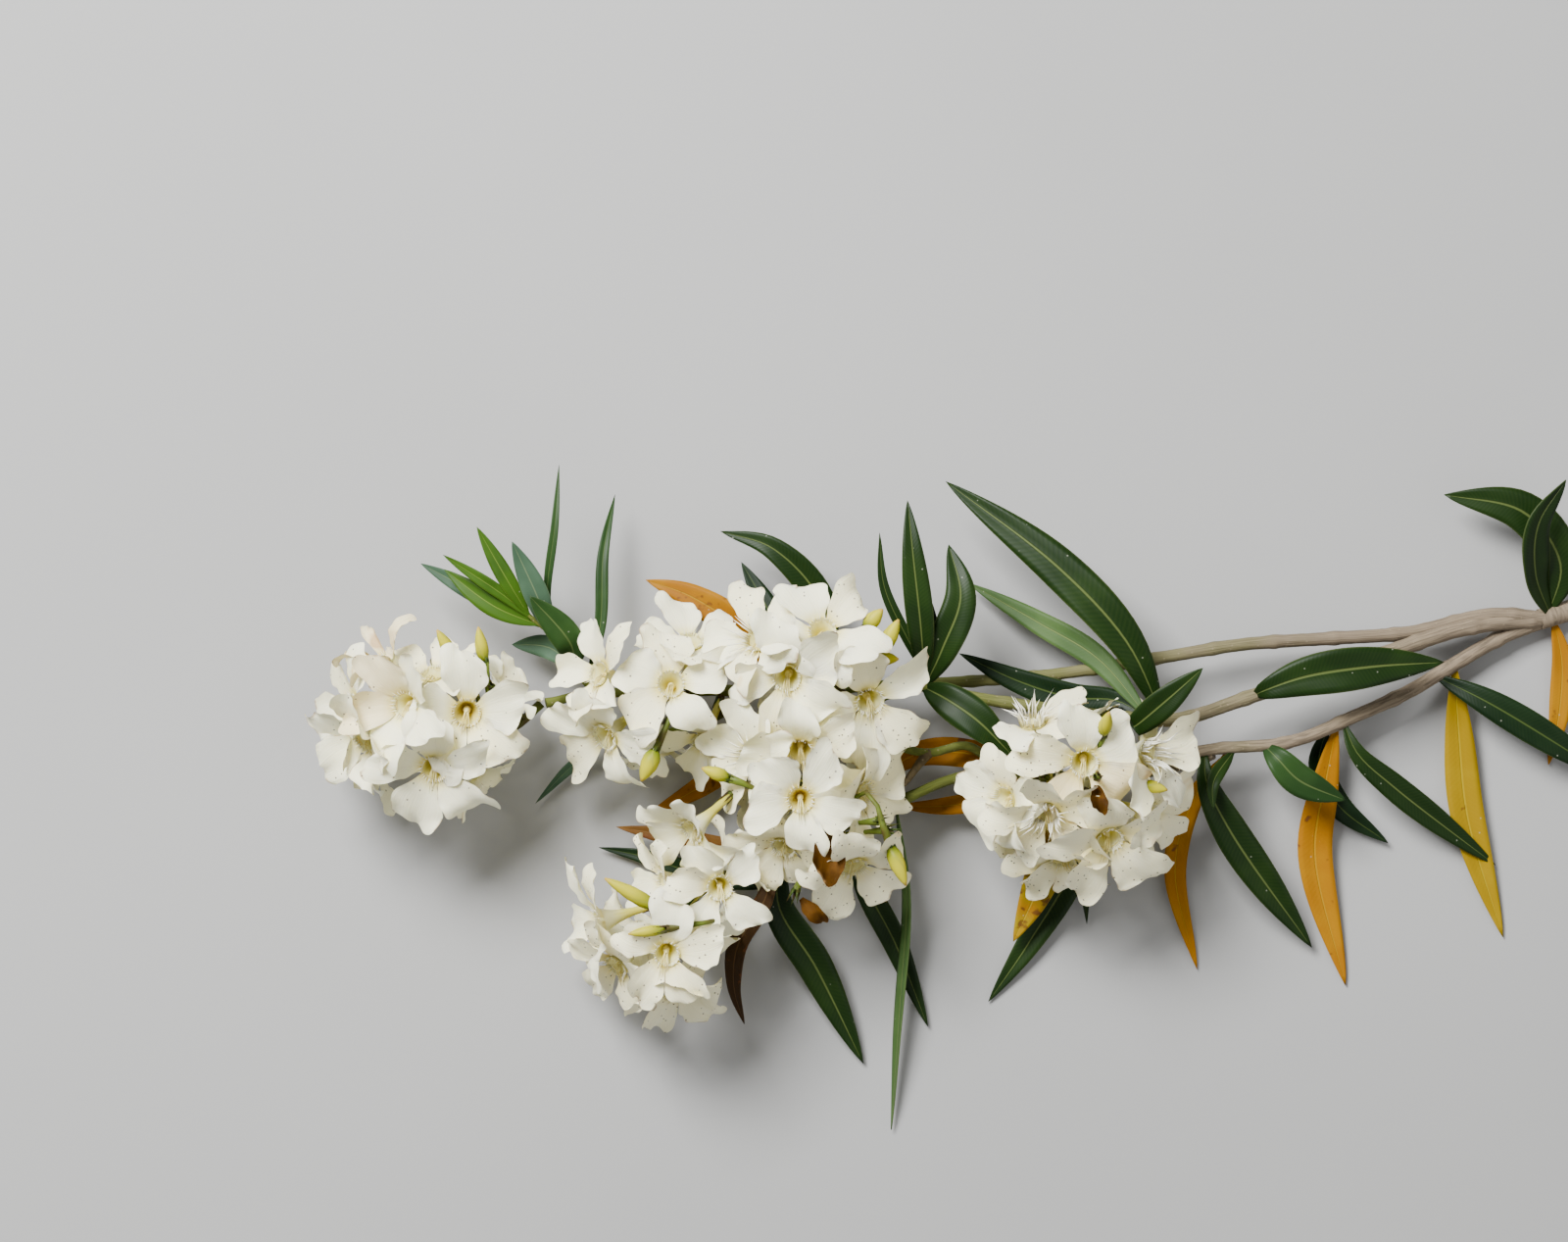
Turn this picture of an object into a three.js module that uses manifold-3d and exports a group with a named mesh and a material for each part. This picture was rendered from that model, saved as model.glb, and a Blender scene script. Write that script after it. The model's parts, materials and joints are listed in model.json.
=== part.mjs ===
// A cut branch of white-flowering oleander, lying on a level surface. Millimetres, +Z up.
//
// The main stem forks into three boughs. They carry five heads of flowers, a young leafy shoot and
// whorls of leaves. Each bough, each head's stalk, each large flower and each group of leaves is one
// closed solid. X runs along the branch towards its cut end, Y across it.

import * as THREE from "three";
import { mergeVertices } from "three/addons/utils/BufferGeometryUtils.js";
import Module from "manifold-3d";

const wasm = await Module();
wasm.setup();

// How the branch is seen: places are given as they look from straight above, on a level plane
const SIGHT_HEIGHT = 1500;
const SIGHT_PLANE = 30;

// Flower
const TUBE_LENGTH = 19;
const TUBE_FOOT = 1.3;
const THROAT = 4.6;
const THROAT_HOLE = 3.2;
const THROAT_WALL = 1;
const THROAT_DEPTH = 7;
const PETAL_LENGTH = 19.5;
const PETAL_WIDTH = 16.5;
const PETAL_THICKNESS = 1.1;
const PETAL_WIDEST = 0.7;
const PETALS = 5;
const PETAL_ROWS = [0.6, 1];

// Calyx, flower stalk and bud
const CALYX_LENGTH = 4.6;
const CALYX_WIDTH = 2.1;
const PEDICEL = 0.9;
const BUD_WIDTH = 2.3;

// Leaf and the sleeve that a group of leaves grows from
const LEAF_HALF_THICKNESS = 0.55;
const LEAF_STALK = 1.5;
const LEAF_FOLD = 0.16;
const LEAF_ROWS = [0, 0.16, 0.46, 0.78, 1];
const SLEEVE = 1.4;

// Gap between neighbours that touch
const CLEARANCE = 0.3;
const FLOOR_CLEARANCE = 0.6;

// Corners lie on a grid this fine, and the widths within which neighbouring corners may be joined
const GRID = 0.01;
const JOIN_WIDTHS = [0.25, 0.2, 0.15, 0.1, 0.06, 0.03, 0.01, 0.003];

const WHITE = "#efede4";
const GREEN = "#24391f";
const YOUNG = "#5f8a3a";
const STALK = "#7d8238";
const BARK = "#85745c";
const DRY = "#6e4124";

// A place seen at (x, y) that stands z above the floor lies a little nearer the middle than it looks
function seen([x, y, z]) {
  const nearer = (SIGHT_HEIGHT - z) / (SIGHT_HEIGHT - SIGHT_PLANE);
  return new THREE.Vector3(x * nearer, y * nearer, z);
}

// A repeatable number from -1 to 1 that stands for natural variation
function vary(...keys) {
  const wave = Math.sin(keys.reduce((sum, key, i) => sum + key * (12.9898 + 65.233 * i), 4.1)) * 43758.5453;
  return 2 * (wave - Math.floor(wave)) - 1;
}

const radians = THREE.MathUtils.degToRad;

// Closed solid from corners and triangles; corners within `near` of each other are joined first
function solidFrom(corners, triangles, near = 1e-4) {
  const loose = new THREE.BufferGeometry();
  loose.setAttribute("position", new THREE.Float32BufferAttribute(corners.flatMap((p) => [p.x, p.y, p.z]), 3));
  loose.setIndex(triangles);
  const joined = mergeVertices(loose, near);
  const index = joined.index.array;
  const kept = [];
  for (let i = 0; i < index.length; i += 3) {
    const [a, b, c] = [index[i], index[i + 1], index[i + 2]];
    if (a !== b && b !== c && c !== a) kept.push(a, b, c);
  }
  const vertProperties = joined.attributes.position.array;
  const make = (list) => new wasm.Manifold(new wasm.Mesh({ numProp: 3, vertProperties, triVerts: new Uint32Array(list) }));
  const solid = make(kept);
  return solid.volume() > 0 ? solid : make(kept.reverse());
}

// Round limb along a curve, through evenly spread radii from its thick end
function limb(curve, radii, sides, steps, grow = 0) {
  const corners = [];
  const triangles = [];
  const frames = curve.computeFrenetFrames(steps, false);
  for (let i = 0; i <= steps; i++) {
    const t = i / steps;
    const place = t * (radii.length - 1);
    const before = Math.min(Math.floor(place), radii.length - 2);
    const radius = THREE.MathUtils.lerp(radii[before], radii[before + 1], place - before) + grow;
    const centre = curve.getPointAt(t);
    if (i === 0) centre.addScaledVector(frames.tangents[0], -grow);
    if (i === steps) centre.addScaledVector(frames.tangents[steps], grow);
    for (let k = 0; k < sides; k++) {
      const angle = (2 * Math.PI * k) / sides;
      corners.push(
        centre.clone()
          .addScaledVector(frames.normals[i], radius * Math.cos(angle))
          .addScaledVector(frames.binormals[i], radius * Math.sin(angle)),
      );
    }
  }
  for (let i = 0; i < steps; i++) {
    for (let k = 0; k < sides; k++) {
      const [a, b] = [i * sides + k, i * sides + ((k + 1) % sides)];
      triangles.push(a, b, b + sides, a, b + sides, a + sides);
    }
  }
  const end = steps * sides;
  for (let k = 1; k < sides - 1; k++) {
    triangles.push(0, k + 1, k, end, end + k, end + k + 1);
  }
  return solidFrom(corners, triangles);
}

// The top and bottom points of a thin sheet, from the rows of points of its middle surface. The skins
// meet at the sides and the tip, or stand `rim` off the middle there, and lie on the floor where they reach it.
function skins(rows, half, rim) {
  const last = rows.length - 1;
  const edge = rows[0].length - 1;
  rows.flat().forEach((p) => (p.z = Math.max(p.z, FLOOR_CLEARANCE - rim)));
  return rows.map((row, i) =>
    row.map((p, j) => {
      const along = rows[Math.min(i + 1, last)][j].clone().sub(rows[Math.max(i - 1, 0)][j]);
      const across = row[Math.min(j + 1, edge)].clone().sub(row[Math.max(j - 1, 0)]);
      if (across.lengthSq() < 1e-9) across.copy(rows[i - 1][edge]).sub(rows[i - 1][0]);
      const out = along.cross(across).normalize();
      const depth = j === 0 || j === edge || i === last ? rim : half + rim;
      return [depth, -depth].map((d) => {
        const corner = p.clone().addScaledVector(out, d);
        corner.z = Math.max(corner.z, 0);
        return corner;
      });
    }),
  );
}

// Faces of a sheet whose corners are numbered in pairs of top and bottom: both skins, the sides and the tip
function stitch(grid, triangles) {
  const last = grid.length - 1;
  const edge = grid[0].length - 1;
  const skin = (a, b, c) => triangles.push(a[0], b[0], c[0], a[1], c[1], b[1]);
  const wall = (a, b) => triangles.push(b[0], a[0], a[1], b[0], a[1], b[1]);
  for (let i = 0; i < last; i++) {
    for (let j = 0; j < edge; j++) {
      skin(grid[i][j], grid[i + 1][j], grid[i + 1][j + 1]);
      skin(grid[i][j], grid[i + 1][j + 1], grid[i][j + 1]);
    }
    wall(grid[i][0], grid[i + 1][0]);
    wall(grid[i + 1][edge], grid[i][edge]);
  }
  for (let j = 0; j < edge; j++) wall(grid[last][j], grid[last][j + 1]);
  return wall;
}

// Closed leaf or other loose blade
function blade(rows, half, rim = 0) {
  const corners = [];
  const triangles = [];
  const grid = skins(rows, half, rim).map((row) => row.map((pair) => pair.map((p) => corners.push(p) - 1)));
  const wall = stitch(grid, triangles);
  for (let j = 0; j < grid[0].length - 1; j++) wall(grid[0][j + 1], grid[0][j]);
  return solidFrom(corners, triangles);
}

// A flower's place: the middle of its throat, the way it faces, and two directions across its face
function flowerFrame({ at, toward, lean }) {
  const [side, tilt] = [radians(toward), radians(lean)];
  const facing = new THREE.Vector3(Math.sin(tilt) * Math.cos(side), Math.sin(tilt) * Math.sin(side), Math.cos(tilt));
  const across = Math.abs(facing.x) < 0.9 ? new THREE.Vector3(1, 0, 0) : new THREE.Vector3(0, 1, 0);
  across.addScaledVector(facing, -facing.dot(across)).normalize();
  const up = facing.clone().cross(across);
  return { throat: seen(at), facing, across, up };
}

// Half width of a petal as a share of its greatest, from root to tip
function petalOutline(v) {
  if (v < PETAL_WIDEST) return 0.26 + 0.74 * Math.sin((Math.PI / 2) * (v / PETAL_WIDEST)) ** 1.7;
  return Math.sqrt(1 - 0.6 * ((v - PETAL_WIDEST) / (1 - PETAL_WIDEST)) ** 2);
}

// Rows of points over one petal: it rises out of the throat, bends outwards and ends in a slanted tip
function petalRows(flower, petal, grow) {
  const { throat, facing, across, up } = flowerFrame(flower);
  const { spin, open, size, seed } = flower;
  const angle = radians(spin + (360 / PETALS) * petal + 7 * vary(seed, petal, 5));
  const outward = across.clone().multiplyScalar(Math.cos(angle)).addScaledVector(up, Math.sin(angle));
  const sideways = facing.clone().cross(outward);
  const length = PETAL_LENGTH * size * (1 + 0.08 * vary(seed, petal, 1)) + grow;
  const width = PETAL_WIDTH * size * (0.72 + 0.28 * open) * (1 + 0.1 * vary(seed, petal, 2)) + 2 * grow;
  const rise = radians(78 - 40 * open + 8 * vary(seed, petal, 3));
  const fall = radians(60 - 72 * open + 16 * vary(seed, petal, 4));
  const bend = rise - fall;
  const twist = 0.25 * vary(seed, petal, 6);
  return PETAL_ROWS.map((v) => {
    const slope = rise - bend * v;
    const reach = THROAT * 0.85 + (length * (Math.sin(rise) - Math.sin(slope))) / bend;
    const lift = (length * (Math.cos(slope) - Math.cos(rise))) / bend;
    const half = (width / 2) * petalOutline(v);
    return [-1, 0, 1].map((u) => {
      const corner = length * v * v * (0.07 * u + 0.05 * (1 - u * u));
      const cup = half * (0.12 * u * u + twist * u * v);
      return throat.clone()
        .addScaledVector(outward, reach + corner * Math.cos(slope) - cup * Math.sin(slope))
        .addScaledVector(facing, lift + corner * Math.sin(slope) + cup * Math.cos(slope))
        .addScaledVector(sideways, u * half + 0.1 * width * v * v);
    });
  });
}

// One flower: a funnel with an open throat that parts into five petals
function flowerSolid(flower, grow = 0) {
  const { throat, facing, across, up } = flowerFrame(flower);
  const corners = [];
  const triangles = [];
  const corner = (radius, turn, height) => {
    const angle = radians(flower.spin + (360 / PETALS) * turn);
    return corners.push(
      throat.clone()
        .addScaledVector(across, radius * Math.cos(angle))
        .addScaledVector(up, radius * Math.sin(angle))
        .addScaledVector(facing, height),
    ) - 1;
  };
  const halves = Array.from({ length: 2 * PETALS }, (_, i) => i / 2 - 0.5);
  const inner = halves.map((turn) => corner(THROAT_HOLE - grow, turn, grow));
  const outer = halves.map((turn) => corner(THROAT + grow, turn, -THROAT_WALL));
  const foot = halves.filter((_, i) => i % 2 === 0).map((turn) => corner(TUBE_FOOT + grow, turn, -TUBE_LENGTH - grow));
  const pit = corner(0, 0, grow - THROAT_DEPTH);
  for (let k = 0; k < PETALS; k++) {
    const [left, middle, right] = [2 * k, 2 * k + 1, (2 * k + 2) % (2 * PETALS)];
    const nextFoot = foot[(k + 1) % PETALS];
    const root = [left, middle, right].map((i) => [inner[i], outer[i]]);
    const rows = skins(petalRows(flower, k, grow), PETAL_THICKNESS / 2, grow);
    stitch([root, ...rows.map((row) => row.map((pair) => pair.map((p) => corners.push(p) - 1)))], triangles);
    triangles.push(inner[left], inner[middle], pit, inner[middle], inner[right], pit);
    triangles.push(outer[middle], outer[left], foot[k], outer[middle], foot[k], nextFoot);
    triangles.push(outer[right], outer[middle], nextFoot);
    if (k > 0 && k < PETALS - 1) triangles.push(foot[0], nextFoot, foot[k]);
  }
  return solidFrom(corners, triangles);
}

// The point of a curve that lies nearest to a place
function nearestOn(curve, place) {
  const steps = 300;
  const points = Array.from({ length: steps + 1 }, (_, i) => curve.getPointAt(i / steps));
  return points.reduce((best, p) => (p.distanceTo(place) < best.distanceTo(place) ? p : best));
}

// Flower stalk and calyx in one: from the head's main stalk up to the foot of the flower's tube
function pedicelSolid(flower, stalk, grow = 0) {
  const { throat, facing } = flowerFrame(flower);
  const foot = throat.clone().addScaledVector(facing, -TUBE_LENGTH - CLEARANCE);
  const base = foot.clone().addScaledVector(facing, -CALYX_LENGTH);
  const root = nearestOn(stalk, base);
  const bend = base.clone().addScaledVector(facing, -0.4 * root.distanceTo(base));
  const path = new THREE.CatmullRomCurve3([root, bend, base, foot]);
  return limb(path, [PEDICEL, PEDICEL, CALYX_WIDTH], 3, 2, grow);
}

// Closed bud on its own short stalk
function budSolid({ at, tip }, stalk, grow = 0) {
  const [foot, end] = [seen(at), seen(tip)];
  const axis = end.clone().sub(foot).normalize();
  const root = nearestOn(stalk, foot);
  const bend = foot.clone().addScaledVector(axis, -0.4 * root.distanceTo(foot));
  const path = new THREE.CatmullRomCurve3([root, bend, foot, foot.clone().lerp(end, 0.5), end]);
  return limb(path, [PEDICEL, PEDICEL, BUD_WIDTH, BUD_WIDTH, 0.4], 4, 4, grow);
}

// Rows of points over one leaf along its path, folded a little up along its midrib
function leafRows({ path, width, roll = 0 }, grow) {
  const curve = new THREE.CatmullRomCurve3(path.map(seen));
  return LEAF_ROWS.map((s) => {
    const ahead = curve.getTangentAt(s);
    const level = new THREE.Vector3(-ahead.y, ahead.x, 0).normalize();
    const across = level.applyAxisAngle(ahead, radians(roll));
    const out = ahead.clone().cross(across).normalize();
    const blade = (width / 2) * Math.pow(Math.sin(Math.PI * Math.pow(s, 0.92)), 0.9);
    const half = s === 1 ? grow : Math.max(blade, (LEAF_STALK / 2) * (1 - s)) + grow;
    const centre = curve.getPointAt(s).addScaledVector(ahead, s === 1 ? grow : 0);
    return [-1, 0, 1].map((u) =>
      centre.clone().addScaledVector(across, u * half).addScaledVector(out, Math.abs(u) * half * LEAF_FOLD),
    );
  });
}

// Boughs: their routes from the thick end, and the radius at each end
const boughs = {
  main_stem: { route: [[283.5, 7.5, 3.9], [270.5, 4.5, 4.2], [257, 0.5, 6]], from: 3.9, to: 3.6, steps: 4 },
  middle_bough: {
    route: [[257, 0.5, 6], [243, -0.5, 9], [229, -3, 12], [204.5, -11, 17], [159.5, -25.5, 21],
      [133.5, -33.5, 25], [111.5, -32.5, 28], [65, -26, 30], [46.5, -22, 30]],
    from: 2.9, to: 1.9, steps: 10,
  },
  lower_bough: {
    route: [[258, 0, 5], [245, -5, 6], [227.5, -15, 8], [212.5, -24, 11], [195, -32, 14],
      [172.5, -41, 18], [146.5, -43.5, 22], [128.5, -46.5, 25]],
    from: 2.7, to: 1.9, steps: 8,
  },
  back_bough: {
    route: [[258, 1, 7], [240, 2, 9], [212.5, -4, 10], [184.5, -6, 12], [156, -8, 14], [125, -13, 16],
      [89, -18.5, 16], [33.5, -22, 14], [-33.5, -24, 17], [-66.5, -25, 20], [-81, -28, 23]],
    from: 2.5, to: 1.6, steps: 10,
  },
  forward_bough: {
    route: [[146, -45, 21], [130, -50, 14], [100, -53, 13], [60.5, -53, 22], [40, -61, 25],
      [16.5, -71.5, 24], [-3.5, -78, 23]],
    from: 2.1, to: 1.6, steps: 7,
  },
};

// Heads of flowers. Each flower is [x, y, height of its throat, side it leans to, lean, turn, openness, size];
// the side is measured from +X towards +Y and the lean from straight up, in degrees.
// The flowers under a head belong to the stalk's own solid.
const heads = {
  far_head: {
    stalk: [[-82.5, -28, 23.3], [-93.5, -37, 24], [-111.5, -39.5, 25], [-128.5, -39.5, 24]],
    flowers: [
      [-108, -31, 50, -80, 12, 18, 1, 1.08],
      [-119, -50, 49, -95, 24, 20, 1, 1.05],
      [-128.5, -28.5, 53, 190, 25, 40, 0.5, 0.95],
      [-142, -40, 43, 215, 45, 10, 0.55, 0.95],
      [-146, -29, 34, 178, 66, 30, 0.9, 0.92],
      [-135.5, -14, 40, 130, 62, 20, 0.35, 0.85],
      [-119.5, -18.5, 39, 100, 54, 0, 0.75, 0.78],
    ],
    under: [
      [-96, -24, 32, 40, 75, 10, 0.7, 0.75],
      [-140, -48, 16, -140, 108, 0, 0.9, 0.85],
      [-121, -21, 16, 100, 110, 30, 0.9, 0.82],
    ],
    buds: [
      { at: [-112, -12, 42], tip: [-116, -6, 46] },
      { at: [-101, -15, 42], tip: [-103.5, -4, 44] },
    ],
  },
  back_head: {
    stalk: [[-12, -26.5, 17], [-26.5, -34, 20], [-41.5, -38, 22], [-50, -37, 22]],
    flowers: [
      [-38.5, -21.5, 47, 90, 10, 16, 1, 1.05],
      [-62.5, -18, 41, 165, 48, 20, 0.9, 0.9],
      [-32, -7.5, 36, 85, 50, 25, 0.9, 0.9],
      [-60.5, -39, 35, 215, 70, 50, 0.75, 1],
      [-27, -41, 30, -110, 50, 30, 0.9, 0.85],
    ],
    under: [
      [-42, -55, 15, -85, 105, 20, 0.8, 0.95],
    ],
    buds: [{ at: [-44.5, -42.5, 33], tip: [-48.5, -54, 32] }],
  },
  middle_head: {
    stalk: [[42.5, -22, 29.5], [25, -30.5, 27], [10, -45.5, 26], [7.5, -62, 26], [10, -76, 25]],
    flowers: [
      [13, -3.5, 56, 90, 22, 48, 1, 1.05],
      [-8.5, -6.5, 47, 145, 38, 30, 0.85, 0.95],
      [1, -19, 54, 240, 20, 34, 1, 1.05],
      [29, -27, 50, -60, 28, 33, 1, 1.08],
      [-10.5, -46, 43.5, 200, 36, 14, 0.9, 0.95],
      [5.5, -44, 50, -95, 30, 20, 0.95, 0.95],
      [5.5, -60.5, 58, -90, 8, 52, 1, 1.05],
      [26.5, -59, 40, -15, 58, 12, 0.9, 0.92],
      [0, -76.5, 38, -115, 52, 20, 0.9, 0.9],
      [22.5, -83, 43, -75, 40, 18, 1, 1],
    ],
    under: [
      [-9, -53, 17, 175, 105, 20, 0.9, 0.78],
      [26, -46, 15, -10, 112, 0, 0.9, 0.8],
    ],
    buds: [
      { at: [27, 0.5, 48], tip: [33, 6, 50] },
      { at: [31.5, -8, 47], tip: [38, 0, 50] },
      { at: [-18.5, -53.5, 38], tip: [-28, -50, 40] },
      { at: [36.5, -77, 42], tip: [41.5, -90, 42] },
    ],
  },
  lower_head: {
    stalk: [[-7.5, -79.5, 22.8], [-20, -87, 24], [-33.5, -97, 25], [-40, -106, 25]],
    flowers: [
      [-29.5, -68.5, 44, 195, 62, 20, 0.85, 1],
      [-22, -90.5, 53, -90, 12, 30, 1, 1.02],
      [-40, -113, 52, -80, 16, 5, 1, 1.05],
      [-61.5, -98, 33, 182, 78, 20, 0.85, 1],
      [-46, -86, 38, 130, 50, 15, 0.9, 0.85],
      [-36.5, -125, 33, -85, 62, 20, 0.8, 0.95],
      [-56.5, -117, 33, 225, 58, 20, 0.9, 0.92],
      [-22.5, -108, 37, -45, 52, 10, 0.9, 0.85],
    ],
    under: [
      [-48, -108, 15, -150, 112, 10, 0.9, 0.85],
      [-20, -104, 15, -35, 108, 0, 0.9, 0.85],
    ],
    buds: [
      { at: [-47, -96.5, 43], tip: [-60.5, -88, 45] },
      { at: [-38, -104, 40], tip: [-52, -107, 43] },
    ],
  },
  near_head: {
    stalk: [[127, -46.7, 25.2], [110, -52, 26], [96.5, -59.5, 26]],
    flowers: [
      [84.5, -32.5, 44, 95, 52, 20, 0.9, 0.95],
      [102, -48, 57, -90, 18, 28, 1, 1.05],
      [123.5, -44.5, 48, 0, 48, 8, 0.9, 1.02],
      [75.5, -60.5, 44, 190, 50, 10, 0.9, 0.95],
      [91, -64, 51, -100, 36, 20, 1, 1.02],
      [95, -81, 37, -95, 62, 15, 0.9, 0.92],
      [110.5, -74, 50, -65, 34, 22, 1, 1.05],
      [124, -66, 38, -20, 60, 15, 0.85, 0.85],
    ],
    under: [
      [84, -76, 15, -120, 108, 10, 0.9, 0.85],
      [116, -68, 15, -45, 110, 0, 0.9, 0.85],
    ],
    buds: [
      { at: [107.5, -41, 48], tip: [111, -29, 51] },
      { at: [122, -54.5, 44], tip: [133, -58, 45] },
    ],
  },
};

// Groups of leaves: the stretch of bough that each grows from, as shares of its length, and its leaves
const leafGroups = {
  fork_leaves: {
    bough: "main_stem", stretch: [0.72, 0.95], colour: GREEN,
    leaves: [
      { path: [[260, 2, 6], [264, 19.5, 12], [251.5, 37, 16], [224.5, 43, 14]], width: 15 },
      { path: [[261, 1, 6], [255.5, 16, 16], [256.5, 33, 24], [266, 48, 26]], width: 12, roll: 30 },
      { path: [[261.5, 1, 5], [264.5, -13.5, 3], [263.5, -32, 2], [260, -49, 1]], width: 8 },
    ],
  },
  right_upper_leaves: {
    bough: "lower_bough", stretch: [0.2, 0.3], colour: GREEN,
    leaves: [
      { path: [[221, -18.5, 9], [240, -28, 14], [266.5, -44, 12], [282, -54, 5]], width: 11 },
      { path: [[228, -15, 8], [229.5, -39, 5], [232.5, -67, 3], [244.5, -107.5, 1]], width: 12 },
    ],
  },
  long_side_leaf: {
    bough: "middle_bough", stretch: [0.43, 0.48], colour: GREEN,
    leaves: [{ path: [[160, -25.3, 21], [176.5, -19, 27], [200, -15.5, 27], [224.5, -14, 22]], width: 15 }],
  },
  right_lower_leaves: {
    bough: "lower_bough", stretch: [0.46, 0.6], colour: GREEN,
    leaves: [
      { path: [[190, -34, 15], [195, -45, 17], [207.5, -56.5, 14], [242, -83, 2]], width: 11 },
      { path: [[188, -35, 15], [184, -55.5, 9], [180.5, -79, 4], [191, -124, 1]], width: 12 },
      { path: [[185, -36, 15], [182, -48, 7], [188.5, -62.5, 4], [205.5, -75.5, 3]], width: 9 },
    ],
  },
  lower_leaves: {
    bough: "lower_bough", stretch: [0.7, 0.89], colour: GREEN,
    leaves: [
      { path: [[143, -44, 22], [143.5, -54, 25], [151.5, -71, 20], [179.5, -111, 4]], width: 15 },
      { path: [[151, -44.5, 21], [138.5, -62, 12], [133, -85, 5], [140.5, -118.5, 1]], width: 8 },
      { path: [[153, -44, 21], [146, -55, 29], [146, -64, 30]], width: 5 },
      { path: [[163, -42, 19], [168, -47, 24], [175, -54, 24], [191, -61, 20]], width: 11 },
    ],
  },
  middle_leaves: {
    bough: "middle_bough", stretch: [0.59, 0.68], colour: GREEN,
    leaves: [
      { path: [[129, -33, 26], [116.5, -7, 34], [93.5, 18, 32], [55, 47.5, 22]], width: 15.5 },
      { path: [[121, -33, 27], [119, -36, 33], [130, -27, 40], [142.5, -16, 44]], width: 10 },
      { path: [[124, -33, 26], [113, -27, 21], [98, -26, 19], [80, -20.5, 18], [59.5, -11, 17]], width: 10 },
      { path: [[124, -33, 26], [107, -13, 18], [86.5, -0.5, 12], [62.5, 13, 5]], width: 9 },
    ],
  },
  whorl_leaves: {
    bough: "middle_bough", stretch: [0.965, 0.995], colour: GREEN,
    leaves: [
      { path: [[51, -22.5, 30], [42, -6, 35], [34, 12, 37], [32.5, 30, 38]], width: 4 },
      { path: [[48, -22.3, 30], [46.5, -2, 42], [44, 21, 46], [42, 41, 44]], width: 9.5 },
      { path: [[48, -22.3, 30], [54, -9, 38], [60, 8, 40], [56, 26, 34]], width: 12 },
      { path: [[48, -22.3, 30], [49.5, -7, 35], [50, 7, 34]], width: 7 },
      { path: [[47, -22.2, 30], [56, -27, 38], [66, -34, 41], [78, -46, 40]], width: 13 },
    ],
  },
  hidden_bough_leaves: {
    bough: "back_bough", stretch: [0.7, 0.78], colour: GREEN,
    leaves: [
      { path: [[12, -23, 15], [13, 5, 20], [-3.5, 24.5, 22], [-21.5, 30.5, 18]], width: 10.5 },
      { path: [[6, -23, 15], [-4, 1, 14], [-14.5, 20, 10]], width: 9 },
      { path: [[-4, -23.5, 16], [-13, -5, 20], [-31, 8, 20], [-47, 14, 17]], width: 11.5 },
      { path: [[-4, -23.5, 16], [-10, -40, 8], [-28, -56, 9], [-46, -65.5, 9]], width: 9 },
    ],
  },
  near_head_leaves: {
    bough: "forward_bough", stretch: [0.27, 0.44], colour: GREEN,
    leaves: [
      { path: [[104, -52.5, 13], [100, -80, 7], [83.5, -109, 3], [69.5, -129.5, 1]], width: 11 },
      { path: [[101, -53, 13], [104, -76, 8], [102.5, -89, 5], [103, -103, 3]], width: 5 },
      { path: [[97, -53, 13], [90, -80, 12], [86, -92, 12], [78, -108, 9]], width: 9 },
      { path: [[87, -52, 15], [68.5, -46, 19], [46.5, -45, 17], [28.5, -55.5, 12]], width: 10 },
      { path: [[88, -52.5, 15], [66, -61, 12], [53.5, -63, 10], [37.5, -63, 7]], width: 7 },
    ],
  },
  under_leaves: {
    bough: "forward_bough", stretch: [0.7, 0.84], colour: GREEN,
    leaves: [
      { path: [[23, -69, 24], [27, -88, 14], [38, -110, 6], [49, -138, 2]], width: 9 },
      { path: [[38, -62, 25], [42, -91.5, 16], [40, -125.5, 10], [36.5, -173, 2]], width: 6.5, roll: 62 },
    ],
  },
  dry_leaves: {
    bough: "forward_bough", stretch: [0.93, 0.99], colour: DRY,
    leaves: [
      { path: [[0, -77, 23], [-2, -96, 16], [11, -118, 9], [27, -150.5, 2]], width: 12.5 },
      { path: [[3, -77, 23], [-4, -80, 13], [-24, -77, 11], [-40, -73, 9], [-57, -70, 7]], width: 8 },
      { path: [[-1.5, -77.5, 23], [-6, -99, 20], [-16, -119, 14], [-13.5, -136.5, 8]], width: 6, roll: 40 },
      { path: [[3, -78, 23], [-3, -87, 12], [-28, -86, 5], [-48, -80, 4], [-63, -77, 3]], width: 8 },
    ],
  },
  shoot: {
    bough: "back_bough", stretch: [0.9, 0.965], colour: YOUNG,
    twig: [[-63, -25, 20], [-69, -19, 22], [-76.5, -7, 26], [-87, 2, 29]],
    leaves: [
      { path: [[-84, -1, 28], [-100, 7, 26], [-123.5, 19.5, 18]], width: 7 },
      { path: [[-83, -1.5, 28], [-98.5, 5, 30], [-115.5, 17.5, 28]], width: 7.5 },
      { path: [[-86, 1, 29], [-95, 8.5, 32], [-116, 22.5, 34]], width: 4.5 },
      { path: [[-86.5, 1.5, 29], [-93, 12, 33], [-104.5, 32, 34]], width: 6 },
      { path: [[-80, -4, 27], [-83, 6, 34], [-92.5, 27, 38]], width: 8.5 },
      { path: [[-79, -5, 27], [-80.5, 10, 30], [-78, 32, 32], [-76.5, 53, 28]], width: 3 },
      { path: [[-71, -16, 23], [-73, -7, 32], [-86.5, 8.5, 38]], width: 10.5 },
      { path: [[-71, -16, 23], [-80, -9, 18], [-92.5, -8, 14]], width: 8 },
      { path: [[-67, -21, 21], [-62.5, -1.5, 22], [-61.5, 22.5, 20], [-57.5, 43, 12]], width: 4.5 },
      { path: [[-60, -25, 19], [-65.5, -43, 8], [-75, -52, 5], [-84.5, -62, 3]], width: 4.5 },
    ],
  },
};

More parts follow.
